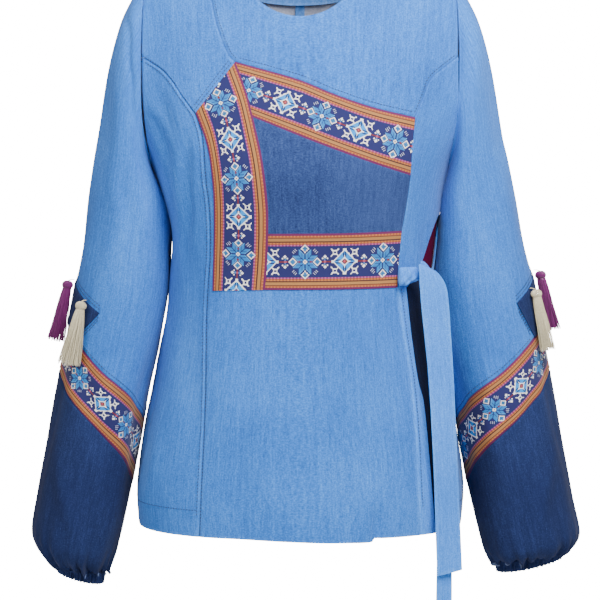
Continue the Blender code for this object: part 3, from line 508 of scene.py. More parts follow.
def cloth_faces(points, normals, uv, closed):
    """The quads of a grid, turned to face along its normals, with their UV corners."""
    rows, columns = points.shape[:2]
    wrap = columns if closed else columns - 1
    i, j = np.meshgrid(np.arange(rows - 1), np.arange(wrap), indexing="ij")
    k = (j + 1) % columns
    quads = np.stack([i * columns + j, i * columns + k, (i + 1) * columns + k,
                      (i + 1) * columns + j], axis=-1).reshape(-1, 4)
    corner_uv = np.stack([uv[i, j], uv[i, j + 1], uv[i + 1, j + 1], uv[i + 1, j]], axis=2)
    corner_uv = corner_uv.reshape(-1, 4, 2)
    a, b, c = (points.reshape(-1, 3)[quads[:, number]] for number in (0, 1, 3))
    facing = np.cross(b - a, c - a) * normals.reshape(-1, 3)[quads[:, 0]]
    if facing.sum() < 0:
        quads, corner_uv = quads[:, ::-1], corner_uv[:, ::-1]
    return quads, corner_uv


def weld(mesh):
    """Join the points that lie on each other, where an edge has no length."""
    bm = bmesh.new()
    bm.from_mesh(mesh)
    bmesh.ops.remove_doubles(bm, verts=bm.verts, dist=1e-6)
    bm.to_mesh(mesh)
    bm.free()


def flat_size(points, closed):
    """The longest row and the longest column of a shell, in metres."""
    widest = np.linalg.norm(np.diff(points, axis=1), axis=-1).sum(axis=1).max() * MM
    if closed:
        widest += np.linalg.norm(points[:, 0] - points[:, -1], axis=-1).max() * MM
    longest = np.linalg.norm(np.diff(points, axis=0), axis=-1).sum(axis=0).max() * MM
    return widest, longest


def shell(name, grid, normals, uv, cloth, node, seams="", edges="", closed=False,
          thickness=CLOTH_WALL, lift=0.0, folds=True, held="hung", rests_on=(), welded=False):
    """A cloth shell through a grid of points, standing for its node."""
    sewn, edge = dips(grid, seams, edges)
    out = sewing_heights(lift, sewn, edge)
    if folds:
        out = out + pushed(grid, normals)
    points = grid + normals * out[..., None]
    quads, corner_uv = cloth_faces(points, normals, uv, closed)
    piece = new_piece(name, points, quads.tolist(), *cloth)
    mesh = piece.data
    layer = mesh.uv_layers.new(name="cloth")
    layer.data.foreach_set("uv", corner_uv.reshape(-1).astype(np.float32))
    for word, distance in (("edge", edge), ("sewn", sewn)):
        kept = mesh.attributes.new(word, "FLOAT", "POINT")
        kept.data.foreach_set("value", distance.reshape(-1).astype(np.float32))
    if welded:
        weld(mesh)
    wall = piece.modifiers.new("wall", "SOLIDIFY")
    wall.thickness, wall.offset = thickness * MM, -1.0
    wall.material_offset = 1
    wall.use_rim = True
    bpy.ops.object.modifier_apply(modifier="wall")
    bpy.ops.object.shade_smooth_by_angle(angle=math.radians(50))
    piece.select_set(False)
    widest, longest = flat_size(points, closed)
    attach(piece, "root")
    if node:
        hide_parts(node)
    list(rests_on)
    print(f"{name}: {widest * 1000:.0f} x {longest * 1000:.0f} mm, {len(mesh.polygons)} faces")


def cells(first, second):
    """How many cells of the wanted size fit along the longer of two edges of a body piece."""
    lengths = [reach_along(body_at(line[:, 0], line[:, 1]))[-1] for line in (first, second)]
    return max(int(max(lengths) / CELL), 4)


def filled(top, bottom, left, right):
    """Places between four edges of a body piece, in cells of the wanted size."""
    across, down = cells(top, bottom), cells(left, right)
    return patch(*(walked(line, count) for line, count in
                   ((top, across), (bottom, across), (left, down), (right, down))))


def body_piece(name, top, bottom, left, right, cloth, node, **facts):
    """A shell on the torso between four edges, each a line of (angle, height)."""
    placed_piece(name, filled(top, bottom, left, right), cloth, node, **facts)


def placed_piece(name, places, cloth, node, uv=None, **facts):
    """A shell on the torso through a grid of (angle, height) places."""
    phi, z = places[..., 0], places[..., 1]
    grid = body_at(phi, z)
    uv = np.stack([phi * PHI_WIDTH, z], axis=-1) * MM if uv is None else uv(grid)
    shell(name, grid, body_normal(phi, z), uv, cloth, node, **facts)


print("shell maker ready")

# %% [markdown]
# The colours are sRGB hex values read from the photograph, and one function
# turns them to linear light. Another adds a node with its settings and links; a
# tuple such as ("ADD", a, b) in its inputs stands for a Math node.

# %% Colours and nodes
def linear(hex_colour):
    """A sRGB colour written as hex, turned into the linear values that Blender mixes."""
    values = [int(hex_colour[start:start + 2], 16) / 255 for start in (1, 3, 5)]
    return (*[v / 12.92 if v <= 0.04045 else ((v + 0.055) / 1.055) ** 2.4 for v in values], 1.0)


def add(tree, kind, inputs=None, **settings):
    """Add a node with its settings and links; the answer is its first output."""
    if isinstance(kind, tuple):
        kind, inputs, settings = "ShaderNodeMath", dict(enumerate(kind[1:])), {"operation": kind[0]}
    node = tree.nodes.new(kind)
    for key, value in settings.items():
        setattr(node, key, value)
    for key, value in (inputs or {}).items():
        if isinstance(value, str) and value.startswith("#"):
            value = linear(value)
        if isinstance(value, tuple) and isinstance(value[0], str):
            value = add(tree, value)
        if isinstance(value, bpy.types.NodeSocket):
            tree.links.new(value, node.inputs[key])
        else:
            node.inputs[key].default_value = value
    return node.outputs[0]


def finish(name, roughness, **sockets):
    """A new material with its shader, and the constants that belong on the shader."""
    material = bpy.data.materials.new(name)
    material.use_nodes = True
    shader = material.node_tree.nodes["Principled BSDF"]
    shader.inputs["Roughness"].default_value = roughness
    for key, value in sockets.items():
        socket = shader.inputs[key.replace("_", " ")]
        socket.default_value = linear(value) if isinstance(value, str) else value
    return material, material.node_tree, shader


print("denim blue in linear light", [round(v, 3) for v in linear("#7AA6DC")])

# %% [markdown]
# Denim is a cotton twill: blue warp threads run down the piece over undyed weft, so
# it looks streaked and heathered along the warp and never flat. Slubs and single
# warp threads are noises stretched along the cloth, three to twenty times as long as
# wide. The real twill line has a pitch of about 0.6 mm, too fine for the render, so
# it is drawn at 1.3 mm. Wear pales the cloth near its edges, and along a seam a
# darker line of painted shade stands for the shadow in the seam's dip.

# %% Denim
TWILL_PITCH = 0.0013
# Columns: noise cells a metre across and along the warp, detail, roughness, share of the tone
COTTON = {
    "slub": (850.0, 90.0, 2.0, 0.6, 0.7), "warp": (460.0, 170.0, 3.0, 0.7, 0.6),
    "heather": (800.0, 640.0, 2.0, 0.75, 1.5), "cloud": (15.0, 9.0, 2.0, 0.5, 0.7),
    "broad": (330.0, 17.0, 2.0, 0.6, 0.6),
}


def denim(name, deep, middle, pale, streak, wear, sheen=0.1, bump=0.25):
    """Denim in three tones; streak is how strongly the yarns differ, wear how pale edges rub."""
    material, tree, shader = finish(name, 0.92, Specular_IOR_Level=0.05 + sheen,
                                    Sheen_Weight=sheen, Sheen_Roughness=0.5)
    place = add(tree, "ShaderNodeUVMap", uv_map="cloth")
    parts = add(tree, "ShaderNodeSeparateXYZ", {0: place}).node.outputs
    u, v = parts[0], parts[1]
    twill = add(tree, ("SINE", ("MULTIPLY", ("ADD", u, v), 2 * math.pi / TWILL_PITCH)))
    tone = ("MULTIPLY", twill, 0.03)
    yarn = {}
    for word, (across, along, detail, rough, share) in COTTON.items():
        stretched = add(tree, "ShaderNodeCombineXYZ",
                        {0: ("MULTIPLY", u, across), 1: ("MULTIPLY", v, along)})
        yarn[word] = add(tree, "ShaderNodeTexNoise",
                         {"Vector": stretched, "Scale": 1.0, "Detail": detail, "Roughness": rough},
                         noise_dimensions="2D")
        tone = ("ADD", tone, ("MULTIPLY", ("SUBTRACT", yarn[word], 0.5), streak * share))
    edge = add(tree, "ShaderNodeAttribute", attribute_name="edge").node.outputs["Fac"]
    near = add(tree, "ShaderNodeMapRange", {"Value": edge, "From Min": 0.3, "From Max": 4.0,
                                            "To Min": 1.0, "To Max": 0.0})
    rubbed = ("MULTIPLY", near, ("MULTIPLY", ("POWER", yarn["warp"], 0.7), wear))
    ramp = add(tree, "ShaderNodeValToRGB", {0: ("ADD", ("ADD", tone, 0.5), rubbed)})
    ramp_stops = ramp.node.color_ramp.elements
    ramp_stops[0].position, ramp_stops[0].color = 0.12, linear(deep)
    ramp_stops[1].position, ramp_stops[1].color = 0.88, linear(pale)
    mid = ramp_stops.new(0.5)
    mid.color = linear(middle)
    # Painted shade: near a seam the colour is mixed towards the deep tone, as the seam's dip would lie
    # in shadow
    sewn = add(tree, "ShaderNodeAttribute", attribute_name="sewn").node.outputs["Fac"]
    line = add(tree, "ShaderNodeMapRange", {"Value": sewn, "From Min": 0.2, "From Max": 1.5,
                                            "To Min": 0.55, "To Max": 0.0})
    colour = add(tree, "ShaderNodeMixRGB", {"Fac": line, "Color1": ramp, "Color2": deep})
    tree.links.new(colour, shader.inputs["Base Color"])
    height = ("ADD", ("MULTIPLY", yarn["heather"], 0.5),
              ("ADD", ("MULTIPLY", yarn["warp"], 0.7), ("MULTIPLY", twill, 0.12)))
    relief = add(tree, "ShaderNodeBump", {"Strength": bump, "Distance": 0.0005, "Height": height})
    tree.links.new(relief, shader.inputs["Normal"])
    return material


# The sky blue of the body and the upper sleeves
LIGHT = denim("cotton_denim_light", "#1E4C93", "#2A6BC0", "#478BDE", 0.6, 0.25)
# The same cloth with painted light: a shade brighter where the tie and its band stand out to the light
PAINTED_LIGHT_DENIM = denim("cotton_denim_painted_light", "#2A62B0", "#387FDC", "#5CA2F2", 0.5, 0.25)
# Indigo denim, the calm dark weight of the lower sleeves, cuffs and patches
DARK = denim("cotton_denim_dark", "#10183A", "#1C284E", "#2C3C6C", 0.5, 0.12, sheen=0.03)
# Indigo washed to a middle blue, quiet ground inside the ribbon frame
INSET = denim("cotton_denim_inset", "#1C2850", "#2A3D6C", "#3C5288", 0.6, 0.12, sheen=0.04)
# Dark denim darkened further with painted shade, near black as the slit below the knot looks in deep
# shade
PAINTED_SHADE_NAVY = denim("cotton_denim_navy_painted_shade", "#060B1C", "#0C1632", "#18264C", 0.6, 0.1)
# The denim painted paler, against the shade inside the neck: a softer blue that sets the neck facing
# off from its pale surroundings
PAINTED_LIGHT_INSIDE_DENIM = denim("cotton_denim_painted_light_inside", "#3464AA", "#4C84D0", "#78A6E6", 0.5, 0.2)
# The undyed weft on the inside of light denim, a cool grey white
REVERSE = denim("denim_reverse", "#969CB4", "#B8BCCE", "#D4D6DE", 0.5, 0.1)
# The inside of indigo denim, a dull grey blue
DARK_REVERSE = denim("dark_denim_reverse", "#3C4A70", "#56668C", "#7C8AAC", 0.5, 0.1)
# A smooth facing twill, one deep red glimpse beside the knot
WINE = denim("cotton_twill_wine", "#300418", "#480726", "#5E0C34", 0.35, 0.0, sheen=0.0)
LIGHT_CLOTH = (LIGHT, REVERSE)
DARK_CLOTH = (DARK, DARK_REVERSE)
print("denim finishes", LIGHT.name, DARK.name, INSET.name)

# %% [markdown]
# The back is cut in two with a centre seam. Its edges are the neck and the
# shoulder, the armhole and side seam, the hem and the centre line.

# %% Back
def back_edges(side):
    """The four edges of one half of the back, cut from neck to hem."""
    turn = np.linspace(np.pi / 2, 0, 41)
    x, z = NECK_HALF * np.cos(turn), -NECK_DROP_BACK * np.sin(turn)
    neck = np.stack([side * (180 - phi_at(x, z)), z], axis=-1)
    top = joined(neck, shoulder_run(side * NECK_HALF, side * SHOULDER_TIP, back=True))
    outer = joined(armhole_run(side, 360, 180), seam_down(side * 90, UNDERARM, HEM))
    centre = seam_down(side * 180, -NECK_DROP_BACK, HEM)
    foot = walked([centre[-1], outer[-1]], 60)
    return dict(top=top, bottom=foot, left=centre, right=outer)


for side, word in ((-1, "right"), (1, "left")):
    body_piece(f"back_{word}_cloth", **back_edges(side), cloth=LIGHT_CLOTH, node=f"back_{word}",
               seams="tlr", edges="b")

# %% [markdown]
# At the front the cut is lopsided. The right shoulder front and right side front
# meet at the princess seam, and the yoke runs from the right neck point across to
# the left armhole. The yoke is filled with straight rays from the neck to its outer
# edge, because an even patch would run over the deep curve of the neck.

# %% Shoulder, yoke and right side
seam_line = on_body(SHOULDER_SEAM)
pitch = body_form(*armhole_place(1, 80))
princess_upper = on_body([(-pitch[0], pitch[2])] + PRINCESS_TOP)
princess_lower = on_body([PRINCESS_TOP[-1]] + PRINCESS_SIDE)
right_princess = on_body(RIGHT_PRINCESS + [(pitch[0], pitch[2])])
body_piece("shoulder_right_cloth", top=shoulder_run(-SHOULDER_TIP, -95),
           bottom=joined(princess_upper, on_body([PRINCESS_TOP[-1], SHOULDER_SEAM[-1]])),
           left=armhole_run(-1, 0, 80), right=seam_line,
           cloth=LIGHT_CLOTH, node="shoulder_front_right", seams="tblr")
side_left = joined(armhole_run(-1, 80, 180), seam_down(-90, UNDERARM, HEM))
side_right = joined(princess_upper, princess_lower)
body_piece("side_right_cloth", top=np.repeat(side_left[:1], 9, axis=0),
           bottom=walked([side_left[-1], side_right[-1]], 40), left=side_left, right=side_right,
           cloth=LIGHT_CLOTH, node="side_front_right", seams="lr", edges="b", welded=True)

outline = joined(seam_line, on_body(RIBBON_UPPER), right_princess, armhole_run(1, 80, 0))
outline = walked(outline, 190)
turn = np.linspace(0, np.pi, 191)
neck_x, neck_z = -NECK_HALF * np.cos(turn), -NECK_DROP_FRONT * np.sin(turn)
outer = body_at(outline[:, 0], outline[:, 1])
part = np.linspace(0, 1, 56)[:, None]
ray_x = neck_x * (1 - part) + outer[:, 0] * part
ray_z = neck_z * (1 - part) + outer[:, 2] * part
yoke_places = np.stack([phi_at(ray_x, ray_z), ray_z], axis=-1)
placed_piece("yoke_cloth", yoke_places, LIGHT_CLOTH, "yoke_front", seams="tblr")

# %% [markdown]
# The wrap front hangs from the yoke and the princess seam. The ribbon frame and the
# dark inset are laid on it and topstitched. A band finishes its free edge.

# %% Wrap front
top_line = joined(on_body([PRINCESS_TOP[-1], RIBBON_UPPER[0]]), on_body(RIBBON_UPPER))
right_line = joined(on_body(RIGHT_TOP), on_body(RIGHT_MIDDLE), on_body(RIGHT_FOOT))
wrap_edge = on_body(WRAP_EDGE)
wrap_foot = walked([princess_lower[-1], wrap_edge[-1]], 90)
foot_x = body_at(wrap_foot[:, 0], wrap_foot[:, 1])[:, 0]
wrap_foot[:, 1] -= 4.0 * eased(foot_x, -80, 40) * (1 - eased(foot_x, 76.0, 78.5))
body_piece("wrap_cloth", top=top_line, bottom=wrap_foot, left=princess_lower,
           right=joined(right_line, wrap_edge), cloth=LIGHT_CLOTH, node="front_wrap",
           seams="tl", edges="br")
free_edge = on_body(FREE_EDGE)
body_piece("wrap_band_cloth", top=walked([wrap_edge[0], free_edge[0]], 8),
           bottom=walked([wrap_edge[-1], free_edge[-1]], 8), left=wrap_edge, right=free_edge,
           cloth=(PAINTED_LIGHT_DENIM, REVERSE), node="front_edge_band", seams="l", edges="br")
inner_lines = [on_body(line) for line in (INNER_TOP, INNER_MIDDLE, INNER_FOOT)]
right_lines = [on_body(line) for line in (RIGHT_TOP, RIGHT_MIDDLE, RIGHT_FOOT)]
across_lines = [on_body(line) for line in (RIBBON_UPPER, INSET_UPPER, INSET_LOWER, FRAME_LOWER)]
LAID_LIFT = 1.3
body_piece("inset_cloth", top=across_lines[1], bottom=across_lines[2], left=inner_lines[1],
           right=right_lines[1], cloth=(INSET, DARK_REVERSE), node="inset_front", lift=LAID_LIFT,
           thickness=0.9, edges="tblr", held="laid", rests_on=["wrap_cloth"])

# %% [markdown]
# At the wearer's left the side front narrows to a strap that goes to the knot.
# Behind it lie the lower side front, a wine-red facing and the dark under front,
# which shows only in the slit beside the tie; the under front's denim is darkened further with painted
# shade.

# %% Left side
strap_top = seam_down(90, UNDERARM, STRAP_FREE[0][1])
free_line = walked(joined(armhole_run(1, 80, 180), strap_top, curve(STRAP_FREE)), 120)
body_piece("left_front_cloth", top=right_princess,
           bottom=walked([right_line[-1], free_line[-1]], 12), left=right_line, right=free_line,
           cloth=LIGHT_CLOTH, node="side_tie_panel_left", seams="tl", edges="r")
side_z = np.linspace(-303, HEM, 90)
side_front = np.stack([smooth_at(SIDE_EDGE, side_z)[0], side_z], axis=-1)
side_seam = seam_down(90, -299, HEM)
body_piece("left_side_cloth", top=walked([side_front[0], side_seam[0]], 6),
           bottom=walked([side_front[-1], side_seam[-1]], 12), left=side_front, right=side_seam,
           cloth=LIGHT_CLOTH, node="side_front_left", seams="r", edges="lb")
UNDER_LIFT = -2.8
for name, node, top_z, foot_z, inner, cloth in (
        ("facing_cloth", "facing_left", -262, -352, 46, (WINE, WINE)),
        ("under_front_cloth", "under_front_left", -352, HEM + 2, 34, (PAINTED_SHADE_NAVY, DARK_REVERSE))):
    z = np.linspace(top_z, foot_z, 90)
    right = np.stack([np.minimum(smooth_at(SIDE_EDGE, z)[0] + 2, 91), z], axis=-1)
    left = np.stack([np.full(90, float(inner)), z], axis=-1)
    body_piece(name, top=walked([left[0], right[0]], 20), bottom=walked([left[-1], right[-1]], 20),
               left=left, right=right, cloth=cloth, node=node, lift=UNDER_LIFT, thickness=0.9,
               edges="tblr")

# %% [markdown]
# A band of the same denim faces the inside of the back neck. It hangs free below
# the neck edge, so its lower rows stand a little off the back. A narrow tape covers
# the raw centre seam of the back on the inside, where the neck shows it. Both are painted paler than
# the denim, against the shade inside the neck.

# %% Neck facing
FACING_WIDE, FACING_DROP = 39.0, 47.5
TAPE_HALF = 5.2
turn = np.linspace(0, np.pi, 81)
x, z = -NECK_HALF * np.cos(turn), -NECK_DROP_BACK * np.sin(turn)
edge = np.stack([180 - phi_at(x, z), z], axis=-1)
reach = NECK_HALF + FACING_WIDE
x, z = -reach * np.cos(turn), shoulder_line(reach) - 3.0 - FACING_DROP * np.sin(turn)
foot = np.stack([180 - phi_at(x, z), z], axis=-1)
facing = patch(edge, foot, walked([edge[0], foot[0]], 24), walked([edge[-1], foot[-1]], 24))
fall = np.linspace(0, 1, 25)[:, None]
placed_piece("neck_facing_cloth", facing, (PAINTED_LIGHT_INSIDE_DENIM, PAINTED_LIGHT_INSIDE_DENIM), "neck_facing_back",
             lift=-2.5 - 2.0 * np.clip(fall * 3, 0, 1), thickness=0.9, edges="tblr", folds=False)
z = np.linspace(-30, HEM + 4, 150)[:, None]
x = np.linspace(TAPE_HALF, -TAPE_HALF, 5)[None]
tape = np.stack(np.broadcast_arrays(180 + phi_at(x, z), z), axis=-1)
placed_piece("back_seam_tape", tape, (PAINTED_LIGHT_INSIDE_DENIM, PAINTED_LIGHT_INSIDE_DENIM), None, lift=-2.9, thickness=0.5,
             edges="lr", held="laid", rests_on=["back_left_cloth", "back_right_cloth"])

# %% [markdown]
# The sleeves are tubes of rings. The upper sleeve is light denim down to the
# ribbon, the ribbon runs round the arm on a slant, and the dark lower sleeve swells
# and is gathered into a narrow elastic cuff. The gathers are waves round the arm of
# uneven width that fade as they climb.

# %% Sleeves
SLEEVE_COLUMNS, RING_LENGTH = 116, 58.0
# Depth of the gathers, and how many rings the lower sleeve hangs over its cuff
GATHER_DEPTH, CUFF_COVERED = 2.8, 0.3


def sleeve_piece(name, side, top, foot, cloth, node, rows=None, lift=0.0, uv=None, gather=False,
                 spread=(180, 540), **facts):
    """A shell round the arm between two edge lines, each a ring for every angle."""
    columns = int(round((spread[1] - spread[0]) / 360 * SLEEVE_COLUMNS))
    closed = spread[1] - spread[0] == 360
    angle = np.linspace(*spread, columns + 1)
    upper, lower = top(angle), foot(angle)
    rows = rows or max(int((lower - upper).max() * RING_LENGTH / CELL), 3)
    part = np.linspace(0, 1, rows + 1)[:, None]
    ring = upper[None] * (1 - part) + lower[None] * part
    angle = np.broadcast_to(angle, ring.shape)
    grid = sleeve_at(side, ring, angle)
    normals = sleeve_normal(side, ring, angle)
    if uv is None:
        middle = (grid + sleeve_at(side, ring, angle + 180))[..., 2] / 2
        uv = np.stack([angle * SLEEVE_ANGLE_WIDTH, middle], axis=-1) * MM
    else:
        uv = uv(grid, angle)
    if gather:
        lift = lift + gathers(ring, angle, side) * GATHER_DEPTH
    if closed:
        grid, normals = grid[:, :-1], normals[:, :-1]
        lift = lift[:, :-1] if np.ndim(lift) else lift
    shell(name, grid, normals, uv, cloth, node, closed=closed, lift=lift, **facts)


# Columns: waves round the arm, their part of the depth, turn, how far up they reach
GATHERS = [
    (17, 0.9, 10, 11.2), (23, 0.8, 100, 11.8), (29, 0.7, 200, 12.6), (11, 0.6, 40, 10.6),
    (38, 0.5, 300, 13.4),
]


def gathers(ring, angle, side):
    """Height of the gathers above the cuff, in millimetres."""
    height = np.zeros(ring.shape)
    for waves, share, turn, start in GATHERS:
        grown = np.clip((ring - start) / (CUFF_TOP - start), 0, 1)
        slant = angle * waves + turn + side * 30 * np.sin(np.radians(angle * 3))
        height += share * grown * np.sin(np.radians(slant))
    under = eased(ring, CUFF_TOP - 0.25, CUFF_TOP)
    return height * (1 - under) - under


def level(ring):
    """An edge line straight round the arm."""
    return lambda angle: np.full(np.shape(angle), float(ring))


def chevron(column):
    """The upper (0) or the lower (1) edge line of the slanting ribbon."""
    return lambda angle: smooth_at(CHEVRON, np.abs((angle + 180) % 360 - 180))[column]


for side, word in ((-1, "right"), (1, "left")):
    sleeve_piece(f"sleeve_{word}_upper_cloth", side, level(0), chevron(0), LIGHT_CLOTH,
                 f"sleeve_upper_{word}", seams="tb")
    sleeve_piece(f"sleeve_{word}_lower_cloth", side, chevron(1), level(CUFF_TOP + CUFF_COVERED),
                 DARK_CLOTH, f"sleeve_lower_{word}", gather=True, seams="tb")

# %% [markdown]
# The cuff is a narrow band drawn in by elastic, so its fine gathers run straight
# across it. A dark patch, pointed at the front and the back, lies across the outer
# line above the ribbon.

# %% Cuffs and patches
# For the right (-1) and left (1) sleeve: angle of the patch's points, ring of its top edge
PATCH_REACH = {-1: 72.0, 1: 58.0}
PATCH_TOP = {-1: 7.1, 1: 6.95}
PATCH_SLOPE, PATCH_CUT_IN = 0.5, 40.0
# Columns: flutes round the cuff, height, turn
CUFF_FLUTES = [(46, 1.0, 0), (31, 0.5, 60)]


def patch_edge(side, lower):
    """The upper or lower edge line of a patch, from one point over the outer line to the other."""
    reach = PATCH_REACH[side]

    def ring(angle):
        turned = np.abs((angle + 180) % 360 - 180)
        if not lower:
            return PATCH_TOP[side] + PATCH_SLOPE * turned / reach
        foot = chevron(0)(angle) - 0.02
        out = np.clip((turned - PATCH_CUT_IN) / (reach - PATCH_CUT_IN), 0, 1)
        return foot + (PATCH_TOP[side] + PATCH_SLOPE - foot) * out

    return ring


def cuff(side, word):
    """The gathered band at the end of a sleeve, drawn in where the sleeve hangs over it."""
    angle = np.linspace(180, 540, 289)
    ring = np.linspace(CUFF_TOP, CUFF_END, 9)[:, None] + 0 * angle
    angle = np.broadcast_to(angle, ring.shape)
    grid, normals = sleeve_at(side, ring, angle), sleeve_normal(side, ring, angle)
    flutes = sum(height * np.sin(np.radians(angle * count + turn))
                 for count, height, turn in CUFF_FLUTES)
    flutes = flutes * eased(ring, CUFF_TOP, CUFF_TOP + CUFF_COVERED) - 0.6
    uv = np.stack([angle * 0.6, grid[..., 2]], axis=-1) * MM
    shell(f"cuff_{word}_cloth", grid[:, :-1], normals[:, :-1], uv, DARK_CLOTH, f"cuff_{word}",
          closed=True, lift=flutes[:, :-1], folds=False, held="gathered", edges="tb")


for side, word in ((-1, "right"), (1, "left")):
    cuff(side, word)
    sleeve_piece(f"sleeve_{word}_patch_cloth", side, patch_edge(side, False),
                 patch_edge(side, True), DARK_CLOTH, f"sleeve_diamond_{word}", rows=24,
                 lift=1.8, spread=(-PATCH_REACH[side], PATCH_REACH[side]), thickness=0.9,
                 edges="tb", held="laid", rests_on=[f"sleeve_{word}_upper_cloth"])

# %% [markdown]
# The ribbon is a jacquard band. Its pattern must run along the band, so one side of
# its UV map is the distance walked along the band's own middle line, and the other
# goes evenly from edge to edge. The middle line runs on past the band's ends, for
# the corners cut on a slant.

# %% Ribbon places
RIBBON_WIDTH = 57.5


def along_band(middle, start):
    """Gives a function that measures how far along a band points lie, from a start."""
    middle = np.concatenate([
        middle[:1] + (middle[:1] - middle[3:4]) * 20, middle, middle[-1:] * 21 - middle[-4:-3] * 20,
    ])
    middle = walked(middle, 900)
    reach = reach_along(middle)
    zero = reach[np.linalg.norm(middle - np.asarray(start), axis=1).argmin()]
    tangent = unit(np.gradient(middle, axis=0))

    def measure(grid):
        flat = grid.reshape(-1, 3)
        nearest = np.concatenate([
            np.linalg.norm(chunk[:, None] - middle[None], axis=-1).argmin(axis=1)
            for chunk in np.array_split(flat, max(len(flat) // 2000, 1))
        ])
        gap = flat - middle[nearest]
        along = reach[nearest] + (gap * tangent[nearest]).sum(axis=1) - zero
        return along.reshape(grid.shape[:-1])

    return measure


print("ribbon width", RIBBON_WIDTH, "mm")

# %% [markdown]
# The pattern is a traditional one: an eight-petal star and a frosted diamond take
# turns on a navy ground between striped borders. It is charted as distances
# from each motif's middle, in millimetres, and held to steps of 0.7 mm, because a
# jacquard figure is made of single crossings of the threads.

# %% Ribbon cloth
WHITE, NAVY, SKY, PALE_SKY = "#E9E6E2", "#181B54", "#1B70B4", "#1585D2"
RED, PINK, TEAL = "#6B2420", "#A8465A", "#1D5A78"
# Columns: distance from the outer edge where a stripe begins and ends, colour
STRIPES = [
    (11.1, 12.9, "#7E2C60"), (8.9, 11.1, "#8C4226"), (7.6, 8.9, "#40241F"), (5.3, 7.6, "#9E6C3A"),
    (4.0, 5.3, "#42241E"), (2.1, 4.0, "#944C2A"), (-9.0, 2.1, "#5C1446"),
]
# The woven step, and the way from a star to the next diamond, in millimetres
WOVEN_STEP, STAR_TO_DIAMOND = 0.7, 41.0
# Pitch of the ribs along and of the picks across, in metres
RIB_PITCH, PICK_PITCH = 0.0012, 0.0018


